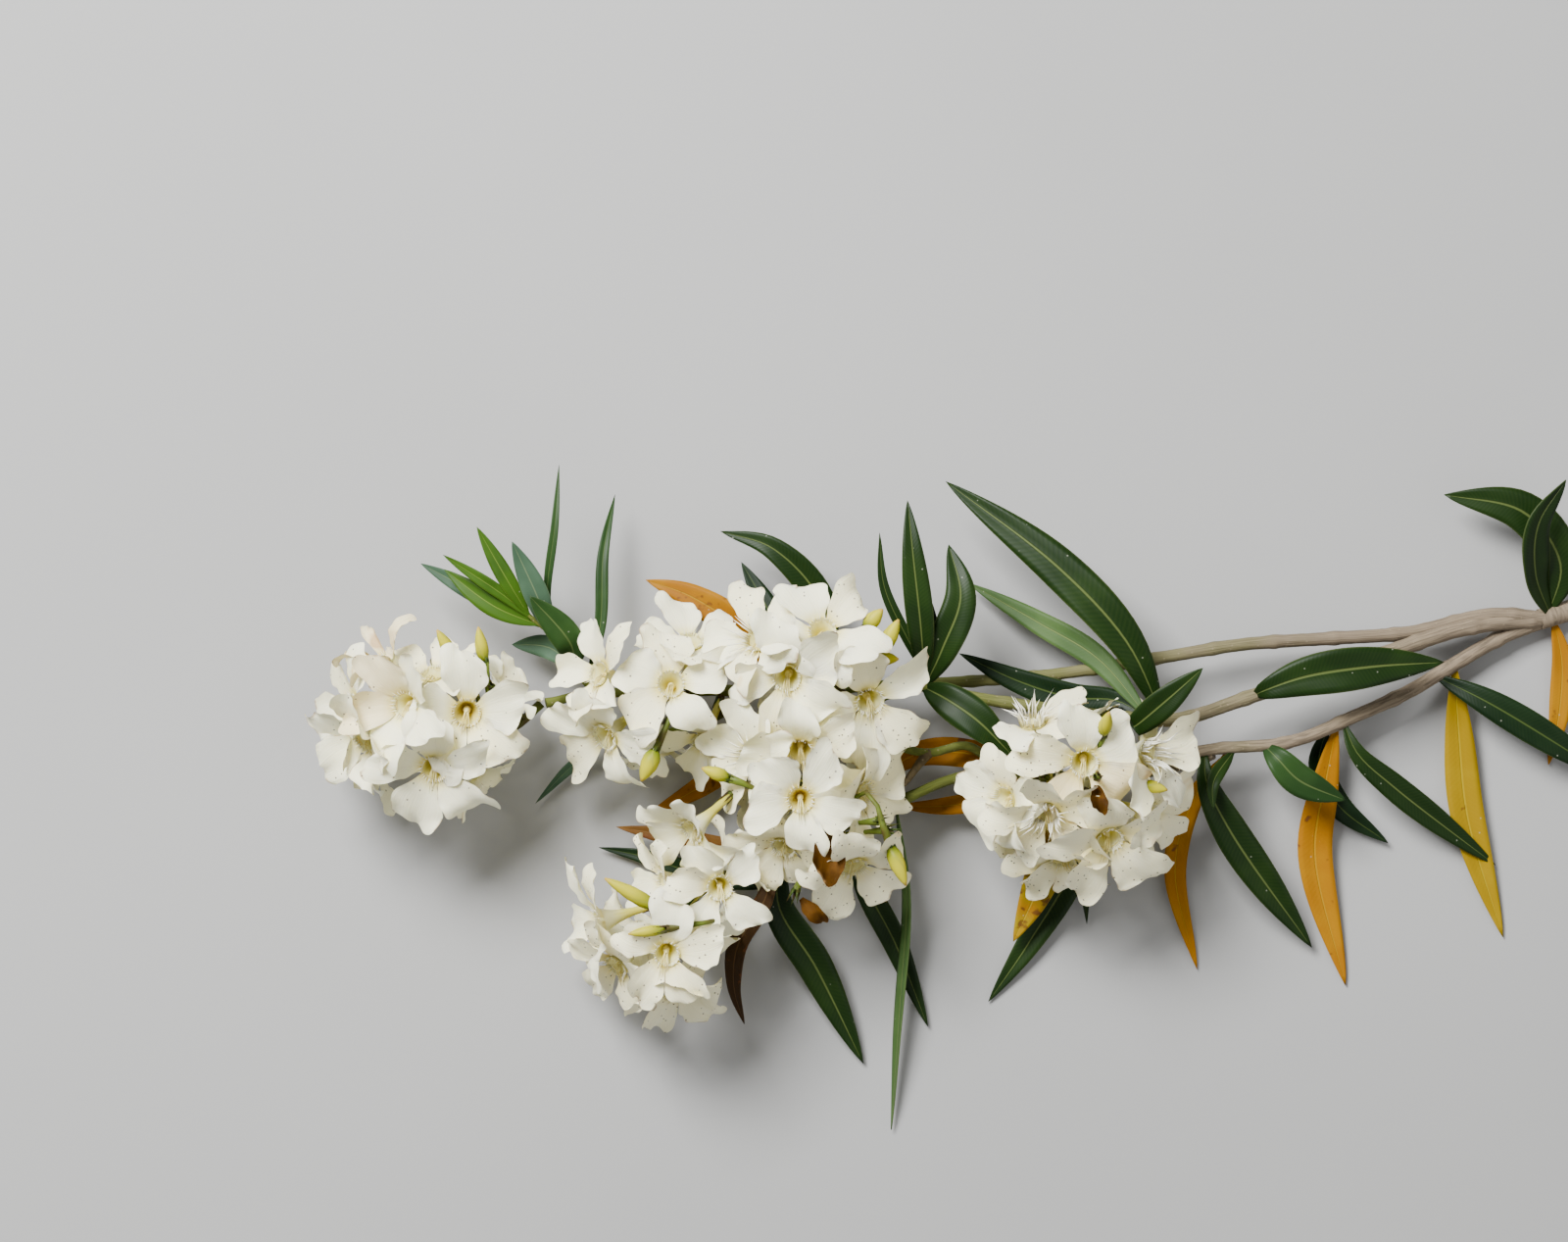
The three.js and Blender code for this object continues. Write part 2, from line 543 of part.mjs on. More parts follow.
// Curves and solids of the boughs
const boughCurve = (name) => new THREE.CatmullRomCurve3(boughs[name].route.map(seen));

function boughSolid(name, grow = 0) {
  const { from, to, steps } = boughs[name];
  return limb(boughCurve(name), [from, to], 6, steps, grow);
}

function flowersOf(head, list, first) {
  return list.map(([x, y, z, toward, lean, spin, open, size], i) => ({
    at: [x, y, z], toward, lean, spin, open, size, seed: first + i, head,
  }));
}

// The stalk of a head with its flower stalks, calyxes, buds and the flowers on its underside
function stalkSolid(head, number, grow = 0) {
  const curve = new THREE.CatmullRomCurve3(head.stalk.map(seen));
  const shown = flowersOf(head, head.flowers, 100 * number);
  const under = flowersOf(head, head.under, 100 * number + 50);
  const parts = [limb(curve, [1.7, 1.2], 5, 5, grow)];
  shown.forEach((flower) => parts.push(pedicelSolid(flower, curve, grow)));
  under.forEach((flower) => {
    const { throat, facing } = flowerFrame(flower);
    const root = nearestOn(curve, throat.clone().addScaledVector(facing, -TUBE_LENGTH));
    const path = new THREE.LineCurve3(root, throat.clone().addScaledVector(facing, 2 - TUBE_LENGTH));
    parts.push(limb(path, [PEDICEL, TUBE_FOOT], 4, 1, grow), flowerSolid(flower, grow));
  });
  head.buds.forEach((bud) => parts.push(budSolid(bud, curve, grow)));
  return wasm.Manifold.union(parts);
}

// A sleeve on the bough with its leaves, and the twig of a leafy shoot
function leafGroupSolid({ bough, stretch, leaves, twig }, grow = 0) {
  const whole = boughCurve(bough);
  const { from, to } = boughs[bough];
  const [start, end] = stretch;
  const at = (t) => whole.getPointAt(THREE.MathUtils.lerp(start, end, t));
  const part = new THREE.CatmullRomCurve3([at(0), at(0.5), at(1)]);
  const radius = (t) => THREE.MathUtils.lerp(from, to, t) + SLEEVE;
  const parts = [limb(part, [radius(start), radius(end)], 6, 1, grow)];
  if (twig) parts.push(limb(new THREE.CatmullRomCurve3(twig.map(seen)), [1.5, 0.9], 5, 4, grow));
  leaves.forEach((leaf) => parts.push(blade(leafRows(leaf, grow), LEAF_HALF_THICKNESS, grow)));
  return wasm.Manifold.union(parts);
}

// Each piece is cut clear of the pieces placed before it, and keeps its largest body
const placed = [];

function apart(a, b) {
  return [0, 1, 2].some((k) => a.min[k] > b.max[k] || b.min[k] > a.max[k]);
}

function settle(build) {
  const whole = build(0);
  const box = whole.boundingBox();
  const near = placed.filter((other) => !apart(box, other.box)).map((other) => other.grown);
  const cut = near.length ? whole.subtract(wasm.Manifold.union(near)) : whole;
  const bodies = cut.decompose().sort((a, b) => b.volume() - a.volume());
  const grown = build(CLEARANCE);
  placed.push({ grown, box: grown.boundingBox() });
  return joinNearCorners(bodies[0]);
}

// Whether each edge lies between just two faces, as in one body that nowhere touches itself
function isSimple(solid) {
  const { vertProperties, triVerts } = solid.getMesh();
  const key = (i) => [0, 1, 2].map((k) => vertProperties[3 * i + k].toFixed(3)).join();
  const faces = new Map();
  for (let i = 0; i < triVerts.length; i += 3) {
    const corners = [0, 1, 2].map((k) => key(triVerts[i + k]));
    corners.forEach((from, k) => {
      const edge = [from, corners[(k + 1) % 3]].sort().join("|");
      faces.set(edge, (faces.get(edge) ?? 0) + 1);
    });
  }
  return solid.decompose().length === 1 && [...faces.values()].every((count) => count === 2);
}

// Cutting leaves corners almost on top of each other, which are joined as far as the body stays simple
function joinNearCorners(solid) {
  const { vertProperties, triVerts } = solid.getMesh();
  const rounded = Array.from(vertProperties, (value) => Math.round(value / GRID) * GRID);
  const corners = [];
  for (let i = 0; i < rounded.length; i += 3) corners.push(new THREE.Vector3(...rounded.slice(i, i + 3)));
  for (const near of JOIN_WIDTHS) {
    try {
      const joined = solidFrom(corners, Array.from(triVerts), near);
      if (isSimple(joined)) return joined;
    } catch {
      continue;
    }
  }
  return solid;
}

const branch = new THREE.Group();

function addPiece(name, colour, roughness, build) {
  const mesh = settle(build).getMesh();
  const geometry = new THREE.BufferGeometry();
  geometry.setAttribute("position", new THREE.BufferAttribute(mesh.vertProperties, 3));
  geometry.setIndex(new THREE.BufferAttribute(mesh.triVerts, 1));
  const piece = new THREE.Mesh(geometry, new THREE.MeshStandardMaterial({ color: colour, roughness, metalness: 0 }));
  piece.name = name;
  branch.add(piece);
}

for (const name of Object.keys(boughs)) {
  addPiece(name, BARK, 0.85, (grow) => boughSolid(name, grow));
}

Object.entries(heads).forEach(([name, head], number) => {
  addPiece(`${name}_stalk`, STALK, 0.7, (grow) => stalkSolid(head, number + 1, grow));
});

// The highest flowers are placed first, so that they stay whole
Object.entries(heads)
  .flatMap(([name, head], number) =>
    flowersOf(name, head.flowers, 100 * (number + 1)).map((flower, i) => ({ ...flower, name: `${name}_flower_${i + 1}` })),
  )
  .sort((a, b) => b.at[2] - a.at[2])
  .forEach((flower) => addPiece(flower.name, WHITE, 0.6, (grow) => flowerSolid(flower, grow)));

for (const [name, group] of Object.entries(leafGroups)) {
  addPiece(name, group.colour, 0.5, (grow) => leafGroupSolid(group, grow));
}

// The origin lies under the middle of the branch, on the floor
const box = new THREE.Box3().setFromObject(branch);
branch.position.set(-(box.min.x + box.max.x) / 2, -(box.min.y + box.max.y) / 2, -box.min.z);

export default branch;
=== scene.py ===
# %% [markdown]
# A cut branch of white-flowering oleander, lying on a pale floor and seen from straight above.
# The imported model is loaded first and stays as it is. Each of its plain solids is then replaced by
# the finer thing that it stands for: bark, petals, fringed throats, buds and ribbed leaves.

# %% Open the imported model
import json
import math

import bpy
import numpy as np
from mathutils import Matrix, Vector


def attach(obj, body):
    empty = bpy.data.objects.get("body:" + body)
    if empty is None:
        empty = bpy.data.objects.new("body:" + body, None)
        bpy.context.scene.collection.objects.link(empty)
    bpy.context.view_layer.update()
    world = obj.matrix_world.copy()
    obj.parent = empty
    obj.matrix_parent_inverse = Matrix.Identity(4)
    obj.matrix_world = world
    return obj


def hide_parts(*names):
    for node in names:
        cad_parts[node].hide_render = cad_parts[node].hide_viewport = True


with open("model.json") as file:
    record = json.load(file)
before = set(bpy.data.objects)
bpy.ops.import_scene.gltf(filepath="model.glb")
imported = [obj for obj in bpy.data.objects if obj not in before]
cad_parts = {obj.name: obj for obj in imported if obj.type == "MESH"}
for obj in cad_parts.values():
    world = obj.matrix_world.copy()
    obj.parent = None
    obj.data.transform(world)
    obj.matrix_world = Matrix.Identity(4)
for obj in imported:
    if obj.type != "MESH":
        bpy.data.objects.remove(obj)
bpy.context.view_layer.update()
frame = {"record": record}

# %% [markdown]
# Places are written in millimetres as they look from straight above, on a plane 30 mm over the
# floor. Something that stands nearer to the eye looks further from the middle than it is, so each
# place is drawn in towards the middle by its height. The model's own zero lies elsewhere: the cut
# end of the stem, which the record names, shows how far the two are apart.

# %% From the picture's places to the model's
SIGHT_HEIGHT = 1500
SIGHT_PLANE = 30
METRES = 0.001
FLOOR_GAP = 0.35


def seen(places):
    """True places of points that look to be at (x, y) and stand z above the floor."""
    places = np.atleast_2d(np.asarray(places, dtype=float))
    nearer = (SIGHT_HEIGHT - places[:, 2:]) / (SIGHT_HEIGHT - SIGHT_PLANE)
    return np.hstack([places[:, :2] * nearer, places[:, 2:]])


CUT_END = [283.5, 7.5, 3.9]
cut_mount = frame["record"]["mounts"][0]
SHIFT = np.array(cut_mount["pos_m"]) / METRES - seen(CUT_END)[0]
print("the picture's middle lies at", SHIFT.round(2), "mm")


def in_metres(points):
    """Model places in metres; nothing reaches into the floor."""
    placed = np.asarray(points, dtype=float) + SHIFT
    placed[:, 2] = np.maximum(placed[:, 2], FLOOR_GAP)
    return placed * METRES


# %% [markdown]
# Nature repeats nothing exactly. This small rule gives the same "chance" number between -1 and 1
# for the same keys in every run, so each petal has its own turn and bend, and keeps them. The three
# weights only shuffle the keys.

# %% Natural variation
KEY_WEIGHT, NEXT_WEIGHT, SHUFFLE = 12.9898, 65.233, 43758.5453


def vary(*keys):
    """A repeatable number from -1 to 1."""
    mixed = 4.1 + sum(key * (KEY_WEIGHT + NEXT_WEIGHT * i) for i, key in enumerate(keys))
    wave = math.sin(mixed) * SHUFFLE
    return 2 * (wave - math.floor(wave)) - 1


# %% [markdown]
# Stems, stalks and leaves all follow smooth curves. Each curve runs through a few chosen places,
# and is then sampled at even steps of its length, so that rings and ribs are spaced evenly.

# %% Smooth routes
FINE_STEPS = 60


def smooth_route(places, count):
    """Evenly spaced points on a smooth curve through the places."""
    knots = np.asarray(places, dtype=float)
    knots = np.vstack([2 * knots[0] - knots[1], knots, 2 * knots[-1] - knots[-2]])
    spans = np.maximum(np.linalg.norm(np.diff(knots, axis=0), axis=1) ** 0.5, 1e-6)
    t = np.linspace(0, 1, FINE_STEPS, endpoint=False)[:, None]
    fine = []
    for i in range(1, len(knots) - 2):
        last, start, end, following = knots[i - 1:i + 3]
        before, here, after = spans[i - 1:i + 2]
        leave = (start - last) / before - (end - last) / (before + here) + (end - start) / here
        reach = (end - start) / here - (following - start) / (here + after) + (following - end) / after
        leave, reach = leave * here, reach * here
        fine.append(
            (2 * t**3 - 3 * t**2 + 1) * start + (t**3 - 2 * t**2 + t) * leave
            + (3 * t**2 - 2 * t**3) * end + (t**3 - t**2) * reach
        )
    fine = np.vstack(fine + [knots[-2:-1]])
    length = np.concatenate([[0], np.cumsum(np.linalg.norm(np.diff(fine, axis=0), axis=1))])
    wanted = np.linspace(0, length[-1], count)
    return np.column_stack([np.interp(wanted, length, fine[:, k]) for k in range(3)])


def directions(points):
    """Unit direction of travel at each point of a route."""
    ahead = np.gradient(points, axis=0)
    return ahead / np.maximum(np.linalg.norm(ahead, axis=1, keepdims=True), 1e-9)


# %% [markdown]
# A head holds dozens of petals and hundreds of fringe threads. Each is laid out as a handful of
# points and faces with a finish, and all of one kind are gathered into a bundle that becomes a
# single mesh. Every point also keeps its place on its own petal or leaf, across and along, as the
# UV map that the veins and ribs are drawn by.

# %% Bundles of small shapes
def new_object(name, data):
    """An object at the origin, linked to the scene."""
    made = bpy.data.objects.new(name, data)
    bpy.context.scene.collection.objects.link(made)
    return made


class Bundle:
    """Many small shapes that become one mesh."""

    def __init__(self):
        self.points, self.places, self.faces, self.finishes = [], [], [], []
        self.count = 0

    def add(self, points, places, faces, finish):
        self.points.append(points)
        self.places.append(places)
        self.faces.extend(tuple(corner + self.count for corner in face) for face in faces)
        self.finishes.extend([finish] * len(faces))
        self.count += len(points)

    def make(self, name):
        mesh = bpy.data.meshes.new(name)
        mesh.from_pydata(in_metres(np.vstack(self.points)).tolist(), [], self.faces)
        corner = np.empty(len(mesh.loops), dtype=np.int32)
        mesh.loops.foreach_get("vertex_index", corner)
        mesh.uv_layers.new(name="Place").data.foreach_set("uv", np.vstack(self.places)[corner].ravel())
        numbers = {finish: number for number, finish in enumerate(dict.fromkeys(self.finishes))}
        mesh.polygons.foreach_set("material_index", [numbers[finish] for finish in self.finishes])
        mesh.polygons.foreach_set("use_smooth", [True] * len(self.faces))
        for finish in numbers:
            mesh.materials.append(finish)
        mesh.validate()
        return new_object(name, mesh)


def stand_for(piece, nodes):
    """The piece moves with the branch and stands for the nodes."""
    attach(piece, "root")
    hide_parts(*nodes)
    print(piece.name, len(piece.data.polygons), "faces")


# %% [markdown]
# Round, tapering things, such as flower stalks, buds and the flower's tube, are all a row of rings.
# One helper joins the rings by faces. Another carries a sideways direction along a route without
# twisting, sets a ring of points at each step and closes both ends.

# %% Round limbs
def ring_grid(rings, sides):
    """The places (round, along) and the faces of a row of rings, each joined to the next."""
    places = [(k / sides, i / (rings - 1)) for i in range(rings) for k in range(sides)]
    faces = []
    for i in range(rings - 1):
        for k in range(sides):
            here, beside = i * sides + k, i * sides + (k + 1) % sides
            faces.append((here, beside, beside + sides, here + sides))
    return places, faces


def round_limb(bundle, points, radii, sides, finish, turn=0.0):
    """Rings of the given radii along a route, closed at both ends."""
    ahead = directions(points)
    side = np.cross(ahead[0], [0.0, 0.0, 1.0] if abs(ahead[0][2]) < 0.9 else [1.0, 0.0, 0.0])
    count = len(points)
    rings = []
    for i, (point, way, radius) in enumerate(zip(points, ahead, radii)):
        side = side - way * side.dot(way)
        side /= np.linalg.norm(side)
        other = np.cross(way, side)
        angles = 2 * np.pi * np.arange(sides) / sides + turn * i / (count - 1)
        rings.append(point + radius * (np.cos(angles)[:, None] * side + np.sin(angles)[:, None] * other))
    places, faces = ring_grid(count, sides)
    faces.append(tuple(reversed(range(sides))))
    faces.append(tuple((count - 1) * sides + k for k in range(sides)))
    bundle.add(np.vstack(rings), places, faces, finish)


# %% [markdown]
# Every finish below starts from the same shader and adds its own pattern by nodes. Short helpers
# keep that readable: they make a node and feed its inputs, do one step of arithmetic, read the
# place on a petal or leaf, draw noise, streaks and dots, and blend two colours by a mask.

# %% Helpers for finishes
TISSUE_GLOW = 0.4


def new_finish(name, roughness, specular):
    """A new material with its node tree and shader."""
    material = bpy.data.materials.new(name)
    material.use_nodes = True
    tree = material.node_tree
    shader = tree.nodes["Principled BSDF"]
    shader.inputs["Roughness"].default_value = roughness
    shader.inputs["Specular IOR Level"].default_value = specular
    return material, tree, shader


def feed(tree, socket, value):
    """Joins the socket to another node's output, or sets it to a value."""
    if isinstance(value, bpy.types.NodeSocket):
        tree.links.new(value, socket)
    else:
        socket.default_value = value


def node(tree, kind, settings=None, **inputs):
    """A node with its settings and with its inputs fed by name."""
    made = tree.nodes.new(kind)
    for key, value in (settings or {}).items():
        setattr(made, key, value)
    for key, value in inputs.items():
        feed(tree, made.inputs[key], value)
    return made


def sums(tree, operation, first, second=0.0):
    """The result of one step of arithmetic."""
    made = node(tree, "ShaderNodeMath", {"operation": operation})
    feed(tree, made.inputs[0], first)
    feed(tree, made.inputs[1], second)
    return made.outputs[0]


def mask_from(tree, value, low, high):
    """0 where the value is under low, 1 where it is over high."""
    limits = {"From Min": low, "From Max": high}
    made = node(tree, "ShaderNodeMapRange", {"interpolation_type": "SMOOTHSTEP"}, Value=value, **limits)
    return made.outputs["Result"]


def blend(tree, mask, first, second, share=1.0):
    """The first colour where the mask is 0, and the given share of the second where it is 1."""
    made = node(tree, "ShaderNodeMix", {"data_type": "RGBA"})
    feed(tree, made.inputs[0], sums(tree, "MULTIPLY", mask, share))
    for socket, colour in ((made.inputs[6], first), (made.inputs[7], second)):
        feed(tree, socket, (*colour, 1.0) if isinstance(colour, tuple) else colour)
    return made.outputs[2]


def darker(colour, share):
    return tuple(share * value for value in colour)


def own_place(tree):
    """Across (-1 to 1) and along (0 to 1) on the petal or leaf."""
    place = node(tree, "ShaderNodeSeparateXYZ", Vector=node(tree, "ShaderNodeUVMap").outputs[0])
    across = sums(tree, "SUBTRACT", sums(tree, "MULTIPLY", place.outputs[0], 2.0), 1.0)
    return across, place.outputs[1]


def model_place(tree):
    return node(tree, "ShaderNodeTexCoord").outputs["Object"]


def cloud(tree, scale, detail=3.0):
    """Soft noise in the model's own space."""
    made = node(tree, "ShaderNodeTexNoise", Vector=model_place(tree), Scale=scale, Detail=detail)
    return made.outputs["Fac"]


def streaks(tree, across, along, detail):
    """Noise that is drawn out along the petal, the funnel or the stem."""
    own = node(tree, "ShaderNodeUVMap").outputs[0]
    place = node(tree, "ShaderNodeMapping", Vector=own, Scale=(across, along, 1.0)).outputs[0]
    return node(tree, "ShaderNodeTexNoise", Vector=place, Scale=1.0, Detail=detail).outputs["Fac"]


def dots(tree, scale, share, radius):
    """1 inside round dots in that share of a honeycomb's cells; the radius is a share of a cell."""
    cells = node(tree, "ShaderNodeTexVoronoi", Vector=model_place(tree), Scale=scale)
    drawn = node(tree, "ShaderNodeSeparateXYZ", Vector=cells.outputs["Color"])
    picked = sums(tree, "LESS_THAN", drawn.outputs[0], share)
    return sums(tree, "MULTIPLY", picked, sums(tree, "LESS_THAN", cells.outputs["Distance"], radius))


def translucent(shader, radius):
    """Thin living tissue lets some light through and glows a little."""
    shader.inputs["Subsurface Weight"].default_value = TISSUE_GLOW
    shader.inputs["Subsurface Radius"].default_value = radius
    shader.inputs["Subsurface Scale"].default_value = 1.0


def relief(tree, shader, height, distance, strength):
    """Fine relief of the surface, with its depth in metres."""
    made = node(tree, "ShaderNodeBump", Height=height, Distance=distance, Strength=strength)
    tree.links.new(made.outputs[0], shader.inputs["Normal"])


# %% [markdown]
# A petal is warm white, yellower in its throat, with faint lengthwise veins. The weather has left
# small dark specks, brown rims and, on older flowers, cream-brown bruises. The veins follow the
# petal's own place; specks and bruises are dealt out in space, so that no two petals match. The
# same finish in other colours serves the specked, the withered and the dried brown petals.

# %% Petal finishes
RIM_BROWN = (0.36, 0.22, 0.09)
SPECK_BROWN = (0.05, 0.03, 0.015)


def petal_finish(name, body, bruise, bruised_share, speck_share, specular=0.3):
    material, tree, shader = new_finish(name, 0.6, specular)
    across, along = own_place(tree)
    throat = (0.86 * body[0], 0.81 * body[1], 0.42 * body[2])
    colour = blend(tree, mask_from(tree, along, 0.0, 0.34), throat, body)
    veins = streaks(tree, 30.0, 1.4, 2.0)
    colour = blend(tree, mask_from(tree, veins, 0.5, 0.75), colour, darker(body, 0.78), 0.25)
    patches = mask_from(tree, cloud(tree, 62.0), 0.74 - bruised_share, 0.84 - bruised_share)
    colour = blend(tree, patches, colour, bruise, 0.7)
    edge = mask_from(tree, sums(tree, "MAXIMUM", sums(tree, "ABSOLUTE", across), along), 0.94, 1.0)
    worn = sums(tree, "MULTIPLY", edge, mask_from(tree, cloud(tree, 150.0), 0.56, 0.64))
    colour = blend(tree, worn, colour, RIM_BROWN, 0.8)
    colour = blend(tree, dots(tree, 480.0, speck_share, 0.15), colour, SPECK_BROWN, 0.85)
    tree.links.new(colour, shader.inputs["Base Color"])
    translucent(shader, (0.004, 0.0036, 0.0028))
    crepe = sums(tree, "MULTIPLY", cloud(tree, 420.0), 0.6)
    relief(tree, shader, sums(tree, "ADD", veins, crepe), 0.0005, 0.45)
    return material


PETAL = petal_finish("petal_white", (0.98, 0.94, 0.67), (0.90, 0.81, 0.50), 0.04, 0.13)
SPECKED_PETAL = petal_finish("petal_specked", (0.95, 0.89, 0.60), (0.78, 0.62, 0.32), 0.10, 0.8)
DRY_PETAL = petal_finish("petal_withered", (0.86, 0.76, 0.48), (0.46, 0.27, 0.12), 0.16, 0.2)
BROWN_PETAL = petal_finish("petal_brown", (0.085, 0.034, 0.003), (0.032, 0.012, 0.001), 0.3, 0.2, 0.05)
print("petal finishes:", [finish.name for finish in (PETAL, SPECKED_PETAL, DRY_PETAL, BROWN_PETAL)])

# %% [markdown]
# The flower's funnel is pale yellow where the petals part and ochre deep inside, and light shines
# through its thin wall. The fringe round its mouth is as white as the petals, and the cone of
# anthers in the middle is cream. On the outside, the tube runs from cream to olive at its foot.

# %% Throat finishes
GLOSS = 0.5
DULL = 0.2
UNEVENNESS = 0.0004


def throat_finish(name, rim, depth):
    material, tree, shader = new_finish(name, 0.5, GLOSS)
    _, along = own_place(tree)
    reach = sums(tree, "ADD", along, sums(tree, "MULTIPLY", streaks(tree, 16.0, 1.2, 2.0), 0.35))
    tree.links.new(blend(tree, mask_from(tree, reach, 0.3, 0.95), rim, depth), shader.inputs["Base Color"])
    translucent(shader, (0.004, 0.0034, 0.0014))
    return material


def plain_finish(name, colour, other, roughness, scale):
    """A body colour with soft patches of another and a slightly uneven surface."""
    material, tree, shader = new_finish(name, roughness, DULL)
    patches = mask_from(tree, cloud(tree, scale), 0.4, 0.66)
    tree.links.new(blend(tree, patches, colour, other), shader.inputs["Base Color"])
    relief(tree, shader, cloud(tree, scale * 4), UNEVENNESS, 0.5)
    return material


PALE_THROAT = throat_finish("throat_pale", (0.92, 0.87, 0.42), (0.78, 0.66, 0.14))
OCHRE_THROAT = throat_finish("throat_ochre", (0.82, 0.70, 0.22), (0.46, 0.34, 0.04))
TUBE = throat_finish("flower_tube", (0.86, 0.82, 0.50), (0.48, 0.44, 0.06))
FRINGE = plain_finish("fringe_white", (0.96, 0.94, 0.80), (0.90, 0.86, 0.66), 0.6, 300.0)
ANTHER = plain_finish("anther_cream", (0.80, 0.72, 0.32), (0.62, 0.50, 0.14), 0.6, 400.0)
print("throat finishes:", [finish.name for finish in (PALE_THROAT, OCHRE_THROAT, TUBE, FRINGE, ANTHER)])

# %% [markdown]
# Flower stalks and calyxes are olive green, browner in places. The buds are a lively yellow-green
# with an ochre tip, and darker seams wind round them where the furled petals overlap.

# %% Stalk and bud finishes
STALK = plain_finish("flower_stalk", (0.10, 0.14, 0.016), (0.055, 0.036, 0.010), 0.5, 90.0)
CALYX = plain_finish("calyx", (0.05, 0.085, 0.015), (0.055, 0.030, 0.010), 0.5, 150.0)
SEAMS_ROUND = 1.5
SEAMS_ALONG = 2.2


def bud_finish():
    material, tree, shader = new_finish("bud", 0.5, DULL)
    across, along = own_place(tree)
    rising = sums(tree, "MULTIPLY", along, SEAMS_ALONG)
    winding = sums(tree, "FRACT", sums(tree, "ADD", sums(tree, "MULTIPLY", across, SEAMS_ROUND), rising))
    seam = mask_from(tree, sums(tree, "ABSOLUTE", sums(tree, "SUBTRACT", winding, 0.5)), 0.38, 0.5)
    body = blend(tree, mask_from(tree, along, 0.0, 0.6), (0.11, 0.16, 0.003), (0.46, 0.42, 0.012))
    tipped = blend(tree, mask_from(tree, along, 0.86, 0.98), body, (0.46, 0.30, 0.04))
    tree.links.new(blend(tree, seam, tipped, (0.27, 0.27, 0.04), 0.6), shader.inputs["Base Color"])
    return material


BUD = bud_finish()
print("stalk and bud finishes:", [finish.name for finish in (STALK, CALYX, BUD)])

# %% [markdown]
# An oleander leaf is leathery. It has one strong pale midrib, a pale rim, and dozens of fine
# parallel side veins that run straight out to the edge. The same pattern serves all leaves: dark
# green, pale, yellow, russet, dry and brown, or young and bright. Fine dust dots them all, and some
# have brown spots. Each row below gives the blade, its patches, its ribs and, where they differ
# from the usual, the roughness, the share of spots and the shine.

# %% Leaf finishes
SIDE_VEINS = 330.0
VEIN_SLANT = -16.0
SPOT_BROWN = (0.10, 0.035, 0.01)
DUST = (0.30, 0.31, 0.24)


def leaf_finish(name, blade, patch, rib, roughness=0.42, spot_share=0.0, specular=0.13):
    material, tree, shader = new_finish(name, roughness, specular)
    across, along = own_place(tree)
    out = sums(tree, "ABSOLUTE", across)
    colour = blend(tree, mask_from(tree, cloud(tree, 45.0), 0.42, 0.66), blade, patch)
    slanted = sums(tree, "MULTIPLY", out, VEIN_SLANT)
    phase = sums(tree, "ADD", sums(tree, "MULTIPLY", along, SIDE_VEINS), slanted)
    veins = sums(tree, "MULTIPLY", sums(tree, "ADD", sums(tree, "SINE", phase), 1.0), 0.5)
    midrib = sums(tree, "SUBTRACT", 1.0, mask_from(tree, out, 0.035, 0.085))
    rim = mask_from(tree, out, 0.92, 0.99)
    for ribbed, share in ((veins, 0.03), (rim, 0.3), (midrib, 0.7)):
        colour = blend(tree, ribbed, colour, rib, share)
    if spot_share:
        spots = mask_from(tree, cloud(tree, 210.0, 2.0), 0.72 - spot_share, 0.8 - spot_share)
        colour = blend(tree, spots, colour, SPOT_BROWN, 0.85)
    colour = blend(tree, dots(tree, 360.0, 0.16, 0.1), colour, DUST, 0.5)
    tree.links.new(colour, shader.inputs["Base Color"])
    height = sums(tree, "SUBTRACT", sums(tree, "MULTIPLY", veins, 0.05), midrib)
    relief(tree, shader, height, 0.0004, 0.6)
    return material


LEAF_COLOURS = {
    "green": ((0.005, 0.017, 0.002), (0.009, 0.025, 0.003), (0.10, 0.13, 0.035)),
    "deep": ((0.003, 0.012, 0.003), (0.006, 0.018, 0.005), (0.06, 0.09, 0.02)),
    "pale": ((0.038, 0.078, 0.020), (0.058, 0.108, 0.030), (0.13, 0.17, 0.05), 0.5),
    "yellow": ((0.26, 0.16, 0.0), (0.30, 0.195, 0.0), (0.36, 0.26, 0.01), 0.5, 0.05, 0.1),
    "amber": ((0.28, 0.11, 0.0), (0.32, 0.14, 0.0), (0.36, 0.20, 0.01), 0.5, 0.05, 0.1),
    "ochre": ((0.24, 0.09, 0.0), (0.29, 0.125, 0.0), (0.33, 0.18, 0.01), 0.55, 0.09, 0.1),
    "spotted": ((0.33, 0.12, 0.001), (0.26, 0.19, 0.003), (0.40, 0.28, 0.02), 0.5, 0.2, 0.1),
    "russet": ((0.13, 0.060, 0.012), (0.085, 0.036, 0.007), (0.20, 0.11, 0.04), 0.6, 0.08, 0.1),
    "dry": ((0.034, 0.017, 0.006), (0.060, 0.028, 0.009), (0.11, 0.06, 0.022), 0.6, 0.08, 0.1),
    "young": ((0.018, 0.052, 0.003), (0.034, 0.085, 0.005), (0.13, 0.20, 0.03)),
    "shaded": ((0.010, 0.032, 0.006), (0.018, 0.048, 0.010), (0.09, 0.13, 0.04)),
    "back": ((0.030, 0.066, 0.036), (0.046, 0.090, 0.052), (0.13, 0.18, 0.09), 0.55),
}
LEAF_FINISHES = {tint: leaf_finish("leaf_" + tint, *row) for tint, row in LEAF_COLOURS.items()}
print("leaf finishes:", sorted(LEAF_FINISHES))

# %% [markdown]
# The stems come first, because everything hangs on them. A stem is drawn as a curve with a radius
# at each point, as by hand, and then turned into a mesh. Real stems swell where leaves once sat,
# so the radius rises a little at each joint, and fine noise roughens the skin. The curve's own map
# runs round the stem and along it, and is lengthened to the stem, so that the bark's grain is alike
# on long and short stems. Each row below gives the radius at both ends and the route.

